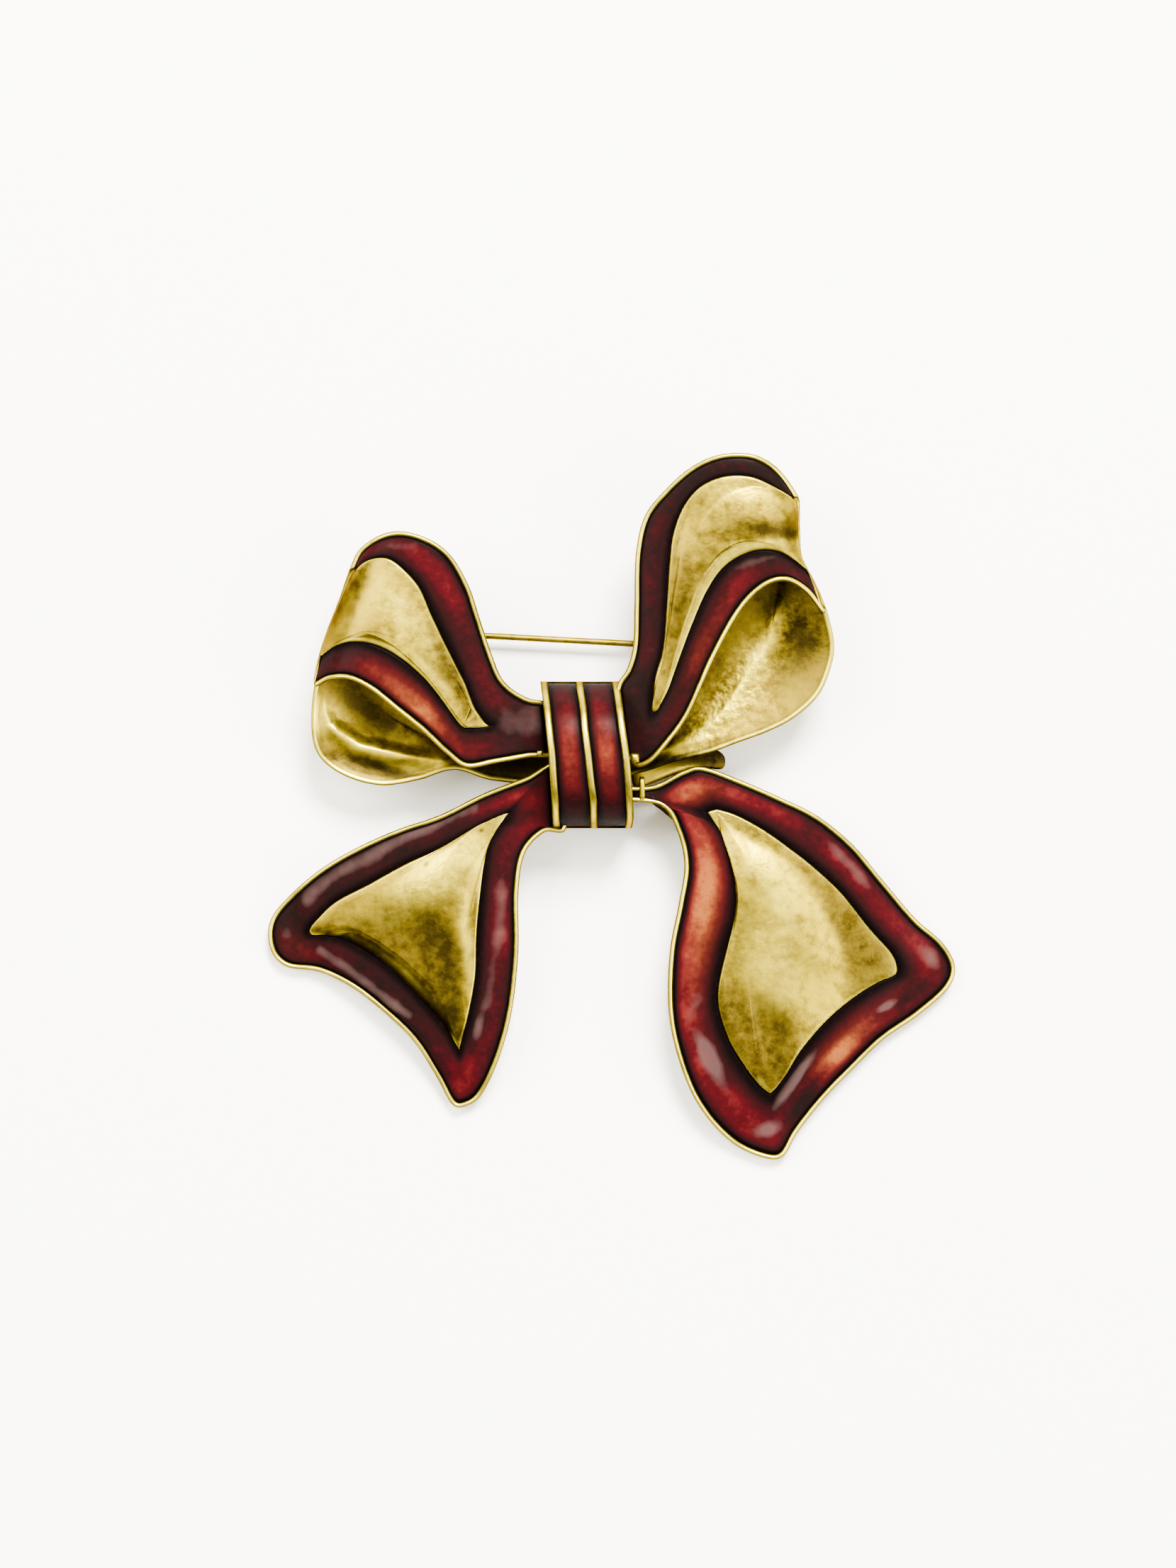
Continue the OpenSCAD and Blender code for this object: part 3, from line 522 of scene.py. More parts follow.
rightLoop = {
    "corners": (12, 13), "reach": (25.8, 31.1), "side": 1, "rise": 1, "puff": 0.6,
    "rows": [
        (0.85, 0.865, 0.83, 0.85), (0.77, 0.95, 0.76, 0.885), (0.67, 0.995, 0.66, 0.92),
        (0.54, 0.995, 0.55, 0.92), (0.425, 0.955, 0.455, 0.885), (0.32, 0.88, 0.39, 0.82),
        (0.235, 0.79, 0.35, 0.73), (0.2, 0.665, 0.335, 0.63), (0.195, 0.495, 0.325, 0.51),
        (0.19, 0.365, 0.31, 0.355), (0.165, 0.285, 0.28, 0.26), (0.12, 0.215, 0.27, 0.19),
        (0.12, 0.06, 0.265, 0.145), (0.185, -0.035, 0.285, 0.145), (0.255, -0.03, 0.3, 0.165),
        (0.335, 0.04, 0.33, 0.215), (0.415, 0.135, 0.365, 0.295), (0.515, 0.32, 0.425, 0.43),
        (0.615, 0.47, 0.49, 0.55), (0.705, 0.55, 0.565, 0.63), (0.795, 0.575, 0.675, 0.675),
        (0.88, 0.54, 0.78, 0.67), (0.955, 0.47, 0.885, 0.615)],
    "ends": [(0.93, 0.555, 0.87, 0.645), (0.87, 0.65, 0.855, 0.69), (0.86, 0.745, 0.85, 0.75),
             (0.86, 0.815, 0.85, 0.81)],
    "swells": [(0.68, 0.86, 0.14, 0.6), (0.8, 0.72, 0.1, -0.4), (0.4, 0.6, 0.2, 0.4)],
    "painted_glow": [0, 0, 0, 0, 0, 0.05, 0.1, 0.15, 0.15, 0.1, 0.05, 0.05, 0.05, 0.1, 0.1, 0.2, 0.3,
             0.4, 0.4, 0.3, 0.2, 0.15, 0.1],
    "bells": [(17.3, 26.4, 4.0, 1.5, -10, 0.6), (18.7, 23.1, 2.8, 0.9, -6, -0.55),
              (21.0, 22.8, 1.2, 0.8, 0, -0.4), (18.6, 21.7, 3.4, 0.45, 2, 0.5),
              (11.3, 23.5, 1.8, 1.4, 0, 0.15), (9.4, 15.5, 5.0, 1.4, 85, -0.4),
              (22.0, 24.6, 1.0, 0.7, 90, -0.3), (12.6, 14.0, 5.0, 0.6, 62, 0.35)],
    "folds": [([(14.2, 23.2), (17.3, 23.9), (20.6, 23.3)], 1.6, 0.8, 0.0, 0.12)],
    "painted_highlights": [(17.5, 21.8, 2.5, 0.3, 4, 0.4), (16.0, 27.3, 3.0, 0.8, -10, 0.2)],
    "hammered": [(16.5, 26.0, 4.5, 2.0, -10, 0.3)],
    "painted_reflection": [(18.7, 20.2, 3.0, 0.5, 15, 0.26)],
    "amber": [(11.5, 10.5, 6.0, 2.0, 60, 0.6)],
}
leftTail = {
    "corners": (9, 17), "reach": (33.4, 37.0), "side": -1, "rise": -1, "puff": 0.8,
    "rows": [
        (0.08, 0.025, 0.24, 0.165), (0.19, 0.065, 0.265, 0.175), (0.32, 0.11, 0.345, 0.21),
        (0.455, 0.17, 0.455, 0.265), (0.585, 0.21, 0.565, 0.31), (0.71, 0.26, 0.675, 0.365),
        (0.825, 0.32, 0.78, 0.415), (0.925, 0.395, 0.84, 0.465), (0.99, 0.47, 0.865, 0.495),
        (0.99, 0.55, 0.855, 0.51), (0.94, 0.6, 0.815, 0.51), (0.835, 0.615, 0.755, 0.52),
        (0.73, 0.66, 0.675, 0.56), (0.63, 0.73, 0.595, 0.615), (0.54, 0.81, 0.52, 0.685),
        (0.47, 0.91, 0.445, 0.76), (0.42, 0.99, 0.405, 0.82), (0.375, 0.995, 0.395, 0.83),
        (0.325, 0.96, 0.385, 0.795), (0.27, 0.855, 0.365, 0.725), (0.23, 0.72, 0.345, 0.62),
        (0.21, 0.55, 0.34, 0.5), (0.21, 0.39, 0.325, 0.36), (0.19, 0.28, 0.31, 0.26),
        (0.13, 0.22, 0.285, 0.21), (0.06, 0.205, 0.255, 0.18)],
    "ends": [],
    "swells": [(0.4, 0.36, 0.16, 0.8), (0.6, 0.55, 0.16, -0.2), (0.36, 0.66, 0.12, 0.5)],
    "painted_glow": [0.35, 0.5, 0.4, 0.2, 0.15, 0.1, 0.15, 0.15, 0.2, 0.35, 0.35, 0.3, 0.15, 0.1, 0.1,
             0.25, 0.5, 0.6, 0.5, 0.35, 0.3, 0.4, 0.35, 0.3, 0.45, 0.4],
    "bells": [(-16.3, -12.6, 8.0, 2.4, 30, 0.75), (-13.3, -28.6, 2.2, 0.9, -80, -0.25)],
    "folds": [
        ([(-24.4, -18.2), (-20.2, -16.3), (-16.2, -16.8), (-13.4, -20.7), (-12.8, -25.6)],
         1.0, 4.6, -0.52, -0.12),
        ([(-12.7, -14.6), (-12.2, -20.3), (-12.0, -27.7)], 0.6, 0.9, 0.8, 0.1),
        ([(-27.0, -18.9), (-22.5, -20.7), (-19.9, -22.8), (-17.4, -25.3), (-14.5, -28.6)],
         0.9, 0.9, -0.8, 0.0)],
    "painted_highlights": [(-12.4, -19.5, 4.5, 0.45, -82, 0.6), (-14.8, -12.6, 5.0, 2.0, 40, 0.6)],
    "pits": [(-10.85, -7.9, 0.4, 0.3, 30, 1.0), (-13.1, -9.4, 0.25, 0.25, 0, 0.7),
             (-16.6, -11.4, 0.3, 0.22, 40, 0.7)],
    "hammered": [(-15.5, -12.5, 5.0, 2.5, 30, 0.3)],
    "painted_light_spots": [(-5.8, -2.7, 1.0, 0.8, 0, -0.5), (-12.9, -31.9, 1.2, 1.0, 0, 0.4),
              (-6.6, -5.0, 1.5, 1.0, 20, 0.4)],
    "painted_reflection": [(-11.2, -28.4, 1.8, 0.6, 75, 0.45), (-31.2, -18.6, 1.0, 1.4, 0, 0.28)],
    "painted_reflection_streaks": [
        ([(-29.2, -15.2), (-25.9, -12.4), (-19.0, -8.8), (-11.7, -5.6)], 0.9, 0.8, 0.3),
        ([(-27.8, -20.5), (-24.9, -22.3), (-21.9, -24.7), (-18.5, -27.3)], 0.6, 0.6, 0.34),
        ([(-8.6, -11.8), (-9.0, -19.2), (-10.2, -26.0)], 0.7, 0.7, 0.2)],
    "amber": [(-30.0, -19.6, 1.5, 1.0, 0, 0.7)],
}
rightTail = {
    "corners": (12, 19), "reach": (38.7, 42.7), "side": 1, "rise": -1, "puff": 0.8,
    "rows": [
        (0.08, 0.08, 0.33, 0.145), (0.18, 0.075, 0.33, 0.14), (0.26, 0.04, 0.345, 0.135),
        (0.315, 0.03, 0.36, 0.135), (0.41, 0.06, 0.41, 0.15), (0.525, 0.105, 0.48, 0.185),
        (0.625, 0.15, 0.55, 0.23), (0.72, 0.22, 0.62, 0.28), (0.8, 0.305, 0.69, 0.34),
        (0.89, 0.4, 0.765, 0.425), (0.965, 0.46, 0.82, 0.48), (1, 0.52, 0.84, 0.515),
        (0.98, 0.575, 0.835, 0.54), (0.9, 0.64, 0.785, 0.56), (0.805, 0.7, 0.715, 0.6),
        (0.725, 0.77, 0.645, 0.655), (0.645, 0.845, 0.58, 0.725), (0.575, 0.925, 0.54, 0.785),
        (0.535, 0.985, 0.505, 0.825), (0.485, 0.99, 0.49, 0.825), (0.4, 0.955, 0.46, 0.8),
        (0.32, 0.88, 0.42, 0.75), (0.265, 0.785, 0.38, 0.685), (0.225, 0.645, 0.355, 0.595),
        (0.225, 0.49, 0.375, 0.49), (0.25, 0.365, 0.41, 0.39), (0.265, 0.27, 0.415, 0.305),
        (0.245, 0.185, 0.4, 0.235), (0.2, 0.125, 0.37, 0.185), (0.08, 0.11, 0.345, 0.16)],
    "ends": [],
    "swells": [(0.5, 0.33, 0.16, 0.9), (0.68, 0.5, 0.14, 0.6), (0.46, 0.68, 0.14, -0.5)],
    "painted_glow": [0.5, 0.8, 0.8, 0.6, 0.5, 0.45, 0.45, 0.45, 0.45, 0.5, 0.55, 0.5, 0.4, 0.45, 0.6, 0.6,
             0.5, 0.3, 0.4, 0.5, 0.5, 0.4, 0.5, 0.6, 0.75, 0.95, 0.95, 0.8, 0.8, 0.6],
    "bells": [(28.6, -20.2, 7.5, 2.8, -52, -0.42), (24.0, -24.6, 3.0, 2.0, -50, 0.35),
              (18.6, -21.0, 4.0, 2.4, 80, 0.75)],
    "folds": [
        ([(13.9, -8.4), (19.4, -11.0), (23.6, -15.6), (26.2, -21.1), (26.0, -25.6)],
         0.9, 4.5, 0.85, 0.25),
        ([(13.4, -24.4), (18.8, -26.1), (21.6, -28.0), (21.4, -32.0)], 0.8, 6.0, -0.4, -0.15),
        ([(18.2, -18.3), (22.0, -17.4)], 1.2, 0.5, -0.3, -0.06)],
    "painted_highlights": [(20.5, -16.5, 4.0, 0.8, -55, 0.5), (19.6, -21.4, 4.2, 2.6, -70, 0.6)],
    "pits": [(19.2, -17.8, 0.35, 0.2, 20, 0.5), (17.0, -20.6, 0.3, 0.25, 0, 0.3)],
    "hammered": [(18.5, -20.0, 3.0, 4.0, 0, 0.35)],
    "painted_light_spots": [(7.2, -3.9, 1.2, 1.0, 0, -0.7), (16.5, -35.9, 2.2, 1.2, -40, 0.35),
              (26.5, -31.3, 2.2, 1.0, 45, 0.4), (22.9, -36.4, 2.5, 1.0, 50, -0.6),
              (34.0, -25.0, 2.5, 0.8, 40, -0.4)],
    "painted_reflection": [(12.9, -31.6, 3.0, 0.8, -62, 0.7), (21.8, -34.0, 3.0, 0.5, 54, 0.8),
             (18.9, -39.3, 1.4, 0.8, 20, 0.5), (31.4, -26.4, 1.2, 0.4, 30, 0.6),
             (27.2, -11.2, 7.0, 0.6, -48, 0.25), (36.3, -21.4, 2.0, 0.9, -50, 0.35),
             (11.4, -25.8, 1.6, 0.9, 90, 0.25)],
    "amber": [(12.6, -17.0, 8.5, 1.8, 88, 0.9), (12.0, -4.2, 2.5, 1.4, 0, 0.7),
              (26.8, -30.4, 4.5, 1.4, 42, 0.9)],
}
leaves = {"LeftLoop": leftLoop, "RightLoop": rightLoop, "LeftTail": leftTail,
          "RightTail": rightTail}
for leaf in leaves.values():
    for mark in ("pits", "painted_light_spots", "painted_reflection", "painted_reflection_streaks"):
        leaf.setdefault(mark, [])

# Heights of the rims in shares of the knot's height: by share of a loop's length,
# and by distance from the knot on a tail.
loopFolds = [(0, 0.6), (0.15, 0.66), (0.35, 0.8), (0.6, 0.89), (0.8, 0.9), (0.9, 0.87),
             (0.96, 0.79), (1.03, 0.6)]
tailFolds = [(0, 0.52), (0.3, 0.48), (0.55, 0.43), (0.8, 0.33), (0.95, 0.23), (1.05, 0.13),
             (1.2, 0.12)]
loopLine = curveThrough(loopFolds, pointsPerStation, False)
tailLine = curveThrough(tailFolds, pointsPerStation, False)

# Rings of a leaf's gold. Kind "u" is its underside, drawn in by a share; "b" the bottom edge and
# "o" the rim, inset in mm from the outline; "p" goes inward in mm from the panel's edge. Then
# the height in mm against the rims, or for "u" and "b" the underside, the dirt and painted
# shade, and the polish.
leafRings = [
    ("u", 0.95, 0, 0.3, 0), ("u", 0.7, 0, 0.3, 0), ("u", 0.4, 0, 0.3, 0), ("u", 0.15, 0, 0.3, 0),
    ("u", 0.0, 0, 0.3, 0), ("b", 0.08, 0.06, 0.2, 0), ("b", 0.0, 0.3, 0.1, 0.2),
    # On the rim's outer wall the dark mark is painted shade; by the enamel it darkens the channel.
    ("o", 0.0, -0.5, 0.3, 0), ("o", 0.0, -0.3, 0.5, 0.1), ("o", 0.04, -0.16, 0.55, 0.1),
    ("o", 0.12, -0.05, 0.25, 0.3), ("o", 0.2, 0.0, 0, 1), ("o", 0.3, -0.01, 0, 1),
    ("o", 0.39, -0.06, 0, 0.5), ("o", 0.47, -0.16, 0.5, 0), ("o", 0.53, -0.3, 1, 0),
    ("o", 0.55, -0.6, 1, 0), ("p", -0.02, -0.6, 1, 0), ("p", 0.0, -0.12, 0.8, 0),
    ("p", 0.03, -0.02, 0.2, 0.4), ("p", 0.07, 0.05, 0, 0.7), ("p", 0.12, 0.09, 0, 0.4),
    ("p", 0.2, 0.11, 0, 0), ("p", 0.45, 0.13, 0, 0), ("p", 0.75, 0.15, 0, 0),
]
# Shares of the way from the last of them to the panel's middle.
insideSteps = np.append(np.linspace(0.04, 0.92, 32), [0.97, 0.995])


# A leaf of gold: rings from the middle of its underside round the rim to the middle of its
# panel. With t and v the shares along and across it, the panel swells by a smooth step of
# 16 t (1 - t) v (1 - v), taken from 0 at its edge to 1 at its middle.
def goldLeaf(name, leaf):
    shape = leafShape(leaf)
    outline, panel, turn, cut = (shape[k] for k in ("outline", "panel", "turn", "cut"))
    low = -metal["channel"] - metal["thick"]
    foot = inset(outline, 0.3, turn)  # the underside stays inside the outline
    rings, dirt_and_painted_shade, polish_and_painted_highlight, painted_light_and_tone = [], [], [], []

    def add(ring, height, painted_shade_and_grime, bright, toned=0.0):
        rings.append(np.column_stack([ring, np.maximum(0, height)]))
        dirt_and_painted_shade.append(painted_shade_and_grime + bells(ring, leaf["pits"]) * toned)
        # Painted light and shade from the bells and folds, and painted highlights over the polish.
        painted_light = (bells(ring, leaf["bells"]) + alongPaths(ring, leaf["folds"], 3)) * toned
        polish_and_painted_gleam = bright + bells(ring, leaf["painted_highlights"]) * toned
        polish_and_painted_highlight.append(np.clip(polish_and_painted_gleam * np.clip(1 + 1.5 * painted_light, 0, 1), 0, 1))
        painted_light_and_tone.append(painted_light)
    for kind, at, dz, painted_shade_and_grime, bright in leafRings:
        if kind in "ub":
            ring = shrunk(shape, foot, at) if kind == "u" else inset(outline, at, turn)
            add(ring, rimHeight(shape, ring) + low + dz, painted_shade_and_grime, bright)
        elif kind == "o":
            ring = inset(outline, at * (0.2 + 0.8 * cut), turn)  # thin at a loop's end
            part = 0.1 + 0.9 * cut if dz > -0.3 or at > 0.5 else 1  # and nearly flat there
            add(ring, rimHeight(shape, ring) + dz * part, painted_shade_and_grime * cut, bright * cut)
        else:
            share = shareFor(shape, panel, at)
            ring = shrunk(shape, panel, share)
            extra = np.where(cut > 0, dz, max(dz, 0))
            add(ring, rimHeight(shape, ring) + extra, painted_shade_and_grime * cut, bright * (0.2 + 0.8 * cut), 1)
    t, v = places(shape, len(panel), share)
    firstInside = 16 * t * (1 - t) * v * (1 - v)
    for more in insideSteps:
        drawn = share + (1 - share) * more
        ring = shrunk(shape, panel, drawn)
        t, v = places(shape, len(panel), drawn)
        inside = 16 * t * (1 - t) * v * (1 - v)
        blend = (inside - firstInside) / (1 - firstInside)
        blend = leaf["puff"] * blend ** 2 * (3 - 2 * blend)
        puff = swell(leaf, shape, ring) + alongPaths(ring, leaf["folds"], 4)
        add(ring, rimHeight(shape, ring) + metal["panel"] + blend * puff, 0, 0, 1)
    marks = {"dirt_and_painted_shade": dirt_and_painted_shade, "polish_and_painted_highlight": polish_and_painted_highlight, "painted_light_and_tone": painted_light_and_tone,
             "hammered": [bells(ring, leaf["hammered"]) for ring in rings]}
    return stackMesh(name, rings, marks, gilt, turn)


# The knot from top to bottom: place along it, left, middle and right rail, and height, in shares
# of its length, width and top.
knotRows = [
    (0.485, -0.555, -0.085, 0.39, 0.46), (0.42, -0.535, -0.07, 0.41, 0.7),
    (0.305, -0.505, -0.035, 0.44, 0.88), (0.165, -0.475, -0.01, 0.475, 0.97),
    (0, -0.44, 0.03, 0.52, 1), (-0.165, -0.42, 0.065, 0.55, 0.97),
    (-0.305, -0.4, 0.1, 0.57, 0.88), (-0.42, -0.392, 0.105, 0.58, 0.7),
    (-0.49, -0.382, 0.11, 0.56, 0.46)]
knotLine = curveThrough(knotRows, pointsPerStation, False)
knotLine *= [metal["knotLong"]] + [metal["knotWide"]] * 3 + [metal["knotTop"]]


# Points of the ring that would lie in the knot are moved out to its side rail, less the gap.
def besideKnot(ring, side):
    line = knotLine[::-1]
    face = np.interp(ring[:, 1], line[:, 0], line[:, 1 if side < 0 else 3])
    face = face + side * (metal["rail"] / 2 + metal["gap"])
    out = ring.copy()
    out[:, 0] = side * np.maximum(side * ring[:, 0], side * face)
    return out


# Enamel strips: how far in from its edge one starts and the heights of its edges, arch and
# underside against the rims, in mm, then the shares of its width over which it is darker.
leafEnamel = {"inset": 0.54, "edge": -0.17, "arch": 0.13, "under": -0.55, "steps": 15,
              "dark": (0.18, 0.55), "leastAmber": 0.15}


# Section of a strip, over its top and back along its underside: shares of the way across, heights
# and light. The top is an arch, the sine of the half turn across it to the power 0.6, and the
# light rises evenly from 0 at each side over the dark share.
def enamelSection(enamel):
    v = np.linspace(0, 1, enamel["steps"])
    top = enamel["edge"] + enamel["arch"] * np.sin(np.pi * v) ** 0.6
    first, last = enamel["dark"]
    light = np.minimum(1, v / first) * np.minimum(1, (1 - v) / last)
    return np.append(v, [1, 0]), np.append(top, [enamel["under"]] * 2), np.append(light, [0, 0])


# A strip rides on the brooch and stands for its CAD node.
def enamelPiece(name, node, grid, marks, closed, flip):
    obj = barMesh(name, grid, marks, red, closed, flip)
    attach(obj, "brooch")
    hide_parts(node)


# The enamel of a leaf: its section carried along between the rim and the panel.
def enamelLeaf(name, leaf, node):
    shape = leafShape(leaf)
    turn = shape["turn"]
    closed = not leaf["ends"]
    outer = besideKnot(inset(shape["outline"], leafEnamel["inset"], turn), leaf["side"])
    inner = shape["panel"]
    painted_glow = curveThrough([(g,) for g in leaf["painted_glow"]], pointsPerRow, closed)[:, 0]
    if not closed:
        keep = slice(2, shape["used"] - 2)
        outer, inner, painted_glow = outer[keep], inner[keep], painted_glow[keep]
    v, heights, light = enamelSection(leafEnamel)
    p = outer[:, None] + (inner - outer)[:, None] * v[:, None]
    z = rimHeight(shape, p) + heights
    flat = p.reshape(-1, 2)
    size = z.shape
    # Painted reflections and their streaks, and painted light spots added to the glow.
    painted_reflection = bells(flat, leaf["painted_reflection"]) + alongPaths(flat, leaf["painted_reflection_streaks"], 3)
    amber = leafEnamel["leastAmber"] + bells(flat, leaf["amber"])
    marks = {"across": np.broadcast_to(light, size),
             "painted_glow": painted_glow[:, None] + bells(flat, leaf["painted_light_spots"]).reshape(size),
             "painted_reflection": np.clip(painted_reflection, 0, 1), "amber": np.clip(amber, 0, 1)}
    enamelPiece(name, node, np.dstack([p, z]), marks, closed, turn > 0)


goldPieces = [goldLeaf("gold" + label, leaf) for label, leaf in leaves.items()]
enamelLeaf("enamelLeftLoop", leftLoop, "enamel_left_loop")
enamelLeaf("enamelRightLoop", rightLoop, "enamel_right_loop")
enamelLeaf("enamelLeftTail", leftTail, "enamel_left_tail")
enamelLeaf("enamelRightTail", rightTail, "enamel_right_tail")
print("leaves made")

# Back ribbons of the loops, seen from the front as dishes. Rows go round the edge: across, up and
# height, in shares of the loop's reach and the knot's top, and middle is the deepest point.
# Their marks are as on a leaf: bells and folds paint shade in the hollow and light on its
# ridge, painted highlights brighten it, and the grime mark is painted shade by the knot.
leftDish = {
    "rows": [
        (0.95, 0.515, 0.57), (0.98, 0.34, 0.55), (0.995, 0.175, 0.5), (0.985, 0.04, 0.47),
        (0.94, -0.045, 0.45), (0.85, -0.11, 0.44), (0.735, -0.14, 0.43), (0.605, -0.115, 0.43),
        (0.475, -0.07, 0.42), (0.325, -0.12, 0.36), (0.095, -0.115, 0.34), (0.085, 0.145, 0.4),
        (0.31, 0.31, 0.42), (0.42, 0.565, 0.43), (0.55, 0.76, 0.44), (0.71, 0.885, 0.48),
        (0.815, 0.835, 0.53), (0.885, 0.675, 0.56)],
    "middle": (0.735, 0.19, 0.32),
    "bells": [(-22.3, 4.4, 5.2, 1.5, -32, -0.85), (-22.0, -1.2, 5.5, 1.1, -14, -1.1),
              (-27.3, 3.8, 1.3, 0.8, 60, 0.7), (-8.0, 0.0, 6.0, 3.0, 0, -0.9)],
    "folds": [([(-28.2, 5.6), (-26.8, 3.0), (-23.5, 0.9), (-15.3, -0.9)], 0.7, 1.1, 1.0, 0.95)],
    "painted_shade_and_grime": [(-6.5, -0.6, 4.2, 1.9, 0, 1.0)],
    "hammered": [(-26.5, 3.5, 2.5, 1.5, -50, 0.4)],
    "painted_highlights": [(-27.0, 3.6, 1.6, 0.8, -50, 0.8), (-22.5, 0.6, 4.5, 0.45, -24, 0.6)],
}
rightDish = {
    "rows": [
        (0.865, 0.665, 0.62), (0.925, 0.57, 0.62), (0.97, 0.48, 0.6), (1, 0.37, 0.58),
        (0.985, 0.285, 0.56), (0.935, 0.195, 0.54), (0.835, 0.12, 0.52), (0.73, 0.075, 0.51),
        (0.615, 0.04, 0.5), (0.5, 0.005, 0.48), (0.355, -0.025, 0.45), (0.225, -0.06, 0.42),
        (0.115, -0.065, 0.4), (0.115, 0.155, 0.44), (0.24, 0.275, 0.46), (0.285, 0.44, 0.48),
        (0.37, 0.65, 0.52), (0.515, 0.78, 0.56), (0.7, 0.835, 0.6), (0.82, 0.77, 0.62)],
    "middle": (0.73, 0.33, 0.39),
    "bells": [(20.4, 15.0, 4.4, 2.8, -50, -0.6), (14.6, 10.6, 5.5, 1.5, 56, -0.3),
              (18.8, 5.2, 5.0, 1.8, 40, 0.05), (22.6, 9.6, 4.6, 2.4, 75, -0.5),
              (8.0, 1.5, 2.2, 1.2, 30, -0.5)],
    "folds": [([(19.5, 13.8), (19.1, 11.2), (16.9, 8.4), (14.8, 4.9), (11.5, 1.9), (9.6, 0.6)],
               1.1, 0.7, 0.95, 0.3),
              ([(5.2, -0.5), (7.2, 0.2), (9.4, 0.8), (12.6, 1.6)], 0.3, 0.3, 1.2, 0.3)],
    "painted_shade_and_grime": [(6.0, -0.9, 3.5, 1.0, 10, 0.9), (9.6, -0.6, 4.0, 0.8, 10, 0.9)],
    "hammered": [(15.5, 6.4, 9.5, 1.9, 54, 1.0)],
    "painted_highlights": [(17.6, 9.6, 3.0, 0.8, 60, 0.6), (13.2, 3.6, 4.0, 0.6, 50, 0.5)],
}
# Rings of a dish from the middle of its underside to its deepest point: inset in mm, share of
# the way to the middle, height added in mm, dirt and painted shade, and polish.
dishInset, dishStep, dishUnder = 0.8, -0.22, -metal["thick"]
dishRings = [(0.3, share, dishUnder, 0.2, 0) for share in (0.95, 0.7, 0.4, 0.15)]
dishRings += [(0.25, 0, dishUnder, 0.2, 0), (0.06, 0, -1.2, 0.1, 0), (0, 0, -1.0, 0.3, 0),
              (0, 0, -0.3, 0.2, 0.1), (0.03, 0, -0.1, 0.5, 0.1), (0.12, 0, 0, 0.2, 0.5),
              (0.25, 0, 0, 0, 1), (0.37, 0, -0.04, 0, 0.5), (0.52, 0, -0.14, 0.25, 0),
              (0.68, 0.02, dishStep, 0.1, 0)]
dishRings += [(dishInset, share, dishStep * (1 - share), 0, 0)
              for share in np.linspace(0.04, 0.97, 34)]


# A dish: its height falls from the edge to the deepest point as the power 1.6 of what is left
# of the way in, and its folds rise over the first quarter of the way.
def goldDish(name, dish, leaf):
    w, h = leaf["reach"]
    scale = np.array([leaf["side"] * w, h])
    ring = curveThrough(dish["rows"], pointsPerRow, True)
    flat = ring[:, :2] * scale
    z = ring[:, 2] * metal["knotTop"]
    c = np.array(dish["middle"][:2]) * scale
    deep = dish["middle"][2] * metal["knotTop"]
    turn = -leaf["side"]
    rings, dirt_and_painted_shade, polish_and_painted_highlight, painted_light_and_tone = [], [], [], []
    for d, share, add, painted_shade_and_grime, bright in dishRings:
        at = toward(inset(flat, d, turn), c, share)
        height = deep + (z - deep) * (1 - share) ** 1.6 + add
        if d == dishInset:
            height = height + min(1, share * 4) * alongPaths(at, dish["folds"], 4)
        rings.append(np.column_stack([at, height]))
        # Painted shade by the knot, painted highlights, and painted light and shade from the
        # bells.
        dirt_and_painted_shade.append(np.clip(painted_shade_and_grime + bells(at, dish["painted_shade_and_grime"]), 0, 1))
        polish_and_painted_gleam = bright * (1 - dirt_and_painted_shade[-1]) + bells(at, dish["painted_highlights"])
        polish_and_painted_highlight.append(np.clip(polish_and_painted_gleam, 0, 1))
        painted_light_and_tone.append((bells(at, dish["bells"]) + alongPaths(at, dish["folds"], 3)) * (d > 0.5))
    marks = {"dirt_and_painted_shade": dirt_and_painted_shade, "polish_and_painted_highlight": polish_and_painted_highlight, "painted_light_and_tone": painted_light_and_tone,
             "hammered": [bells(at, dish["hammered"]) for at in rings]}
    return stackMesh(name, rings, marks, gilt, turn)


goldPieces.append(goldDish("goldLeftDish", leftDish, leftLoop))
goldPieces.append(goldDish("goldRightDish", rightDish, rightLoop))

# Bead on top of a rail: across and height against the top in mm, how dark and how polished.
railBead = [(-0.375, -0.34, 1, 0.1), (-0.35, -0.16, 0.7, 0.1), (-0.26, -0.04, 0.15, 0.1),
            (-0.12, 0.0, 0, 0.45), (0.0, 0.01, 0, 0.45), (0.12, 0.0, 0, 0.45),
            (0.26, -0.04, 0.15, 0.1), (0.35, -0.16, 0.7, 0.1), (0.375, -0.34, 1, 0.1)]


# The knot: a box section whose top carries three round rails with two channels between them,
# carried along the knot line from top to bottom.
def goldKnot():
    half, channel = metal["rail"] / 2, -metal["channel"]
    profile = []
    for rail in (1, 2, 3):
        bead = [(rail, *point) for point in railBead]
        profile += [(rail, -half, channel, 1, 0), *bead, (rail, half, channel, 1, 0)]
    rail, x, z, dirt_and_painted_shade, polish_and_painted_highlight = np.array(profile).T
    across = knotLine[:, rail.astype(int)] + x
    high = knotLine[:, 4:] + z
    high[:, [0, -1]] = metal["knotBack"]
    dirt_and_painted_shade[[0, -1]] = 0.4
    size = across.shape
    grid = np.dstack([across, np.broadcast_to(knotLine[:, :1], size), high])
    marks = {"dirt_and_painted_shade": np.broadcast_to(dirt_and_painted_shade, size), "polish_and_painted_highlight": np.broadcast_to(polish_and_painted_highlight, size)}
    return barMesh("goldKnot", grid, marks, gilt, False, True)


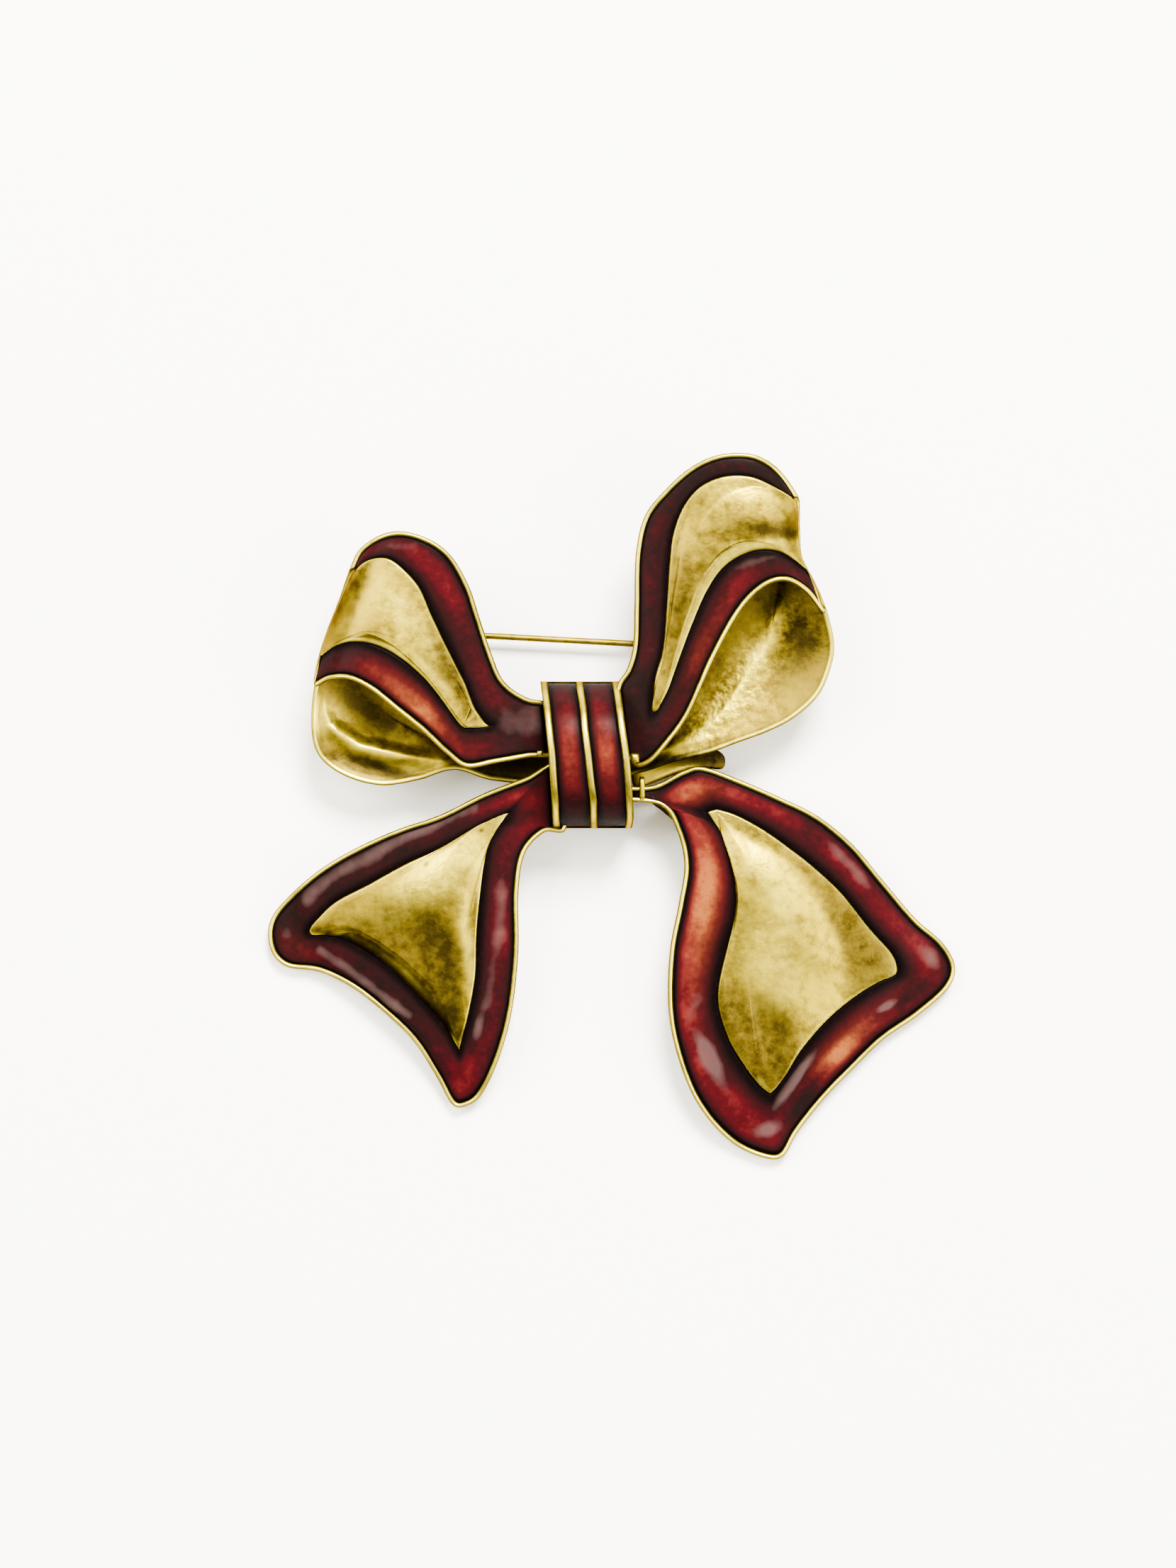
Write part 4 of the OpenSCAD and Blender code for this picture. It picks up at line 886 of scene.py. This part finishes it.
# Enamel on the knot, as on a leaf. It ends short of the knot by some mm, its painted light falls
# to endLight over the lengths in ends, as painted shade where the knot turns down, and amber is
# the share of its glow that is orange.
knotEnamel = {"inset": 0.37, "edge": -0.18, "arch": 0.14, "under": -0.55, "steps": 13,
              "dark": (0.3, 0.3), "short": 0.25, "ends": (2.5, 3.0), "endLight": 0.6, "amber": 0.8}


def enamelKnot(name, k, node, paintedGlowRow):
    first, last = knotLine[0, 0], knotLine[-1, 0]
    line = knotLine[(knotLine[:, 0] < first - knotEnamel["short"])
                    & (knotLine[:, 0] > last + knotEnamel["short"])]
    y, left, right, top = (line[:, [i]] for i in (0, k, k + 1, 4))
    left, right = left + knotEnamel["inset"], right - knotEnamel["inset"]
    v, heights, light = enamelSection(knotEnamel)
    x = left + (right - left) * v
    size = x.shape
    end = np.minimum((first - y) / knotEnamel["ends"][0], (y - last) / knotEnamel["ends"][1])
    end = knotEnamel["endLight"] + (1 - knotEnamel["endLight"]) * np.minimum(1, end)
    painted_glow = np.interp(np.linspace(0, 1, len(y)), np.linspace(0, 1, len(paintedGlowRow)), paintedGlowRow)
    painted_glow = np.broadcast_to(painted_glow[:, None], size)
    marks = {"across": end * light, "painted_glow": painted_glow, "amber": knotEnamel["amber"] * painted_glow}
    grid = np.dstack([x, np.broadcast_to(y, size), top + heights])
    enamelPiece(name, node, grid, marks, False, True)


goldPieces.append(goldKnot())
# Glow from top to bottom: painted shade at the knot's ends and painted light across its middle.
enamelKnot("enamelKnotLeft", 1, "enamel_knot_left", [0.2, 0.3, 0.6, 0.62, 0.45, 0.3, 0.25])
enamelKnot("enamelKnotRight", 2, "enamel_knot_right", [0.2, 0.3, 0.6, 0.65, 0.45, 0.3, 0.25])


# Small cast beads between two corners in mm: ball points whose sines and cosines are taken to a
# power below 1, which makes a box with rounded corners.
beadLook = {"power": 0.35, "rings": 13, "round": 24, "dirt_and_painted_shade": 0.1, "polish_and_painted_highlight": 0.45}


def goldBead(name, low, high):
    u = np.linspace(-math.pi / 2, math.pi / 2, beadLook["rings"])[:, None]
    v = np.linspace(-math.pi, math.pi, beadLook["round"], endpoint=False)

    def bent(value):
        return np.sign(value) * np.abs(value) ** beadLook["power"]
    x = bent(np.cos(u)) * bent(np.cos(v))
    y = bent(np.cos(u)) * bent(np.sin(v))
    z = bent(np.sin(u)) * np.ones_like(v)
    low, high = np.array(low), np.array(high)
    grid = ((low + high) / 2 + np.stack([x, y, z], -1) * (high - low) / 2)[1:-1]
    marks = {mark: np.full(grid.shape[:2], beadLook[mark]) for mark in ("dirt_and_painted_shade", "polish_and_painted_highlight")}
    return stackMesh(name, grid, marks, gilt, 1)


goldPieces.append(goldBead("goldBeadRight", (4.6, -0.9, 3), (5.55, 0.1, 9.2)))
goldPieces.append(goldBead("goldPostRight", (5.55, -4.8, 2.8), (6.15, -2.3, 6.4)))
goldPieces.append(goldBead("goldBeadLeft", (-5.1, -0.1, 3.5), (-4.4, 0.4, 8.3)))

# Web of metal between the right dish and the right tail, with painted shade above and gold along
# its lower edge, as bright as its polish mark. Rows go round it, and rings give inset in mm, share
# of the way to the middle and height.
webRight = {
    "polish_and_painted_highlight": 0.3,
    "rows": [
        (4.7, 0.4), (9.0, 0.6), (12.8, 0.7), (14.4, -0.1), (14.2, -1.5), (11.7, -1.4), (9.0, -2.2),
        (6.4, -3.2), (5.1, -3.5), (4.7, -1.5)],
    "rings": [
        (0.3, 0.8, 2.9), (0.3, 0, 2.8), (0.1, 0, 2.9), (0, 0, 3.2), (0, 0, 4.1), (0.08, 0, 4.35),
        (0.2, 0, 4.45), (0.3, 0.2, 4.45), (0.3, 0.4, 4.4), (0.3, 0.6, 4.4), (0.3, 0.8, 4.4),
        (0.3, 0.97, 4.4)],
    "painted_shade_and_grime": [([(4.6, -0.4), (9.0, -0.3), (14.4, 0.3)], 1.6, 1.1, 1.0),
              ([(13.3, 0.6), (13.3, -1.5)], 1.6, 1.6, 1.0)],
}


def goldWeb(name, web):
    outline = curveThrough(web["rows"], pointsPerStation, True)
    middle = outline.mean(0)
    rings = [np.column_stack([toward(inset(outline, d, -1), middle, share),
                              np.full(len(outline), z)]) for d, share, z in web["rings"]]
    # Painted shade and grime darken its top and its right end.
    dirt_and_painted_shade = np.clip([alongPaths(ring, web["painted_shade_and_grime"], 3) for ring in rings], 0, 1)
    bright = web["polish_and_painted_highlight"] * (1 - dirt_and_painted_shade)
    marks = {"dirt_and_painted_shade": dirt_and_painted_shade, "polish_and_painted_highlight": bright, "painted_light_and_tone": bright}
    return stackMesh(name, rings, marks, gilt, -1)


goldPieces.append(goldWeb("goldWebRight", webRight))
for piece in goldPieces:
    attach(piece, "brooch")
    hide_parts("bow_casting")
print("knot and dishes made")

# The findings on the back keep their CAD shape.
for node, material in (("pin_hinge", giltPlain), ("pin_catch", giltPlain),
                       ("hinge_rivet", wire), ("pin_stem", wire)):
    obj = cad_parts[node]
    obj.data.materials.clear()
    obj.data.materials.append(material)


# Floor: a pale sheet of card, its side in metres.
cardLook = {"side": 4, "fibre": (900, 4, 0.6), "rough": 0.75,
            "colors": [(0.3, (0.88, 0.87, 0.835)), (0.7, (0.9, 0.893, 0.865))]}


def cardMaterial():
    material, tree, shader, coords = newMaterial("pale_card")
    fibre = noiseNode(tree, coords, cardLook["fibre"])
    color = rampNode(tree, fibre, cardLook["colors"])
    tree.links.new(color, shader.inputs["Base Color"])
    shader.inputs["Roughness"].default_value = cardLook["rough"]
    return material


bpy.ops.mesh.primitive_plane_add(size=cardLook["side"])
floor = bpy.context.object
floor.name = "floor"
floor.data.materials.append(cardMaterial())

# Soft lights aimed at the brooch: place, width and height in metres, power in watts, colour.
softLights = {"softLeft": ((-0.95, 0.5, 1.1), (1.1, 0.9), 85, (1, 0.97, 0.89)),
              "softTop": ((0.3, 1.0, 1.15), (0.6, 0.5), 235, (1, 0.975, 0.9)),
              "softRight": ((1.2, -0.3, 0.9), (0.9, 1.0), 65, (1, 0.97, 0.88))}
for name, (at, size, power, color) in softLights.items():
    light = bpy.data.lights.new(name, "AREA")
    light.shape = "RECTANGLE"
    light.size, light.size_y = size
    light.energy = power
    light.color = color
    lightObj = bpy.data.objects.new(name, light)
    lightObj.location = at
    lightObj.rotation_euler = (-Vector(at)).to_track_quat("-Z", "Y").to_euler()
    bpy.context.scene.collection.objects.link(lightObj)

# World: bright overhead, falling to a dark band at the horizon.
studioLook = {"sky": [(0.0, (0.06, 0.056, 0.04)), (0.4, (0.1, 0.093, 0.07)),
                      (0.8, (0.5, 0.46, 0.35)), (1.0, (1.0, 0.94, 0.74))], "strength": 3.4}


def studioWorld():
    world = bpy.data.worlds.new("studio")
    world.use_nodes = True
    tree = world.node_tree
    coords = newNode(tree, "ShaderNodeTexCoord").outputs["Generated"]
    parts = newNode(tree, "ShaderNodeSeparateXYZ")
    tree.links.new(coords, parts.inputs[0])
    sky = rampNode(tree, parts.outputs["Z"], studioLook["sky"])
    tree.links.new(sky, tree.nodes["Background"].inputs["Color"])
    tree.nodes["Background"].inputs["Strength"].default_value = studioLook["strength"]
    return world


bpy.context.scene.world = studioWorld()

# Camera straight above, with the photograph's view. The lens is the sensor's height times the
# distance over the height that is seen, from the photograph's pixels and its pixels to the mm.
viewing = {"pixels": 2212, "perMm": 13.55, "distance": 0.6, "sensor": 24,
           "focusHeight": 0.005, "off": (-0.00242, 0.00273)}
camera = bpy.data.cameras.new("camera")
camera.sensor_fit = "VERTICAL"
camera.sensor_height = viewing["sensor"]
camera.lens = (viewing["sensor"] * viewing["distance"]
               / (viewing["pixels"] / viewing["perMm"] * 0.001))
camera.clip_start = 0.01
cameraObj = bpy.data.objects.new("camera", camera)
cameraObj.location = (*viewing["off"], viewing["distance"] + viewing["focusHeight"])
bpy.context.scene.collection.objects.link(cameraObj)
bpy.context.scene.camera = cameraObj
print("stage and camera made")
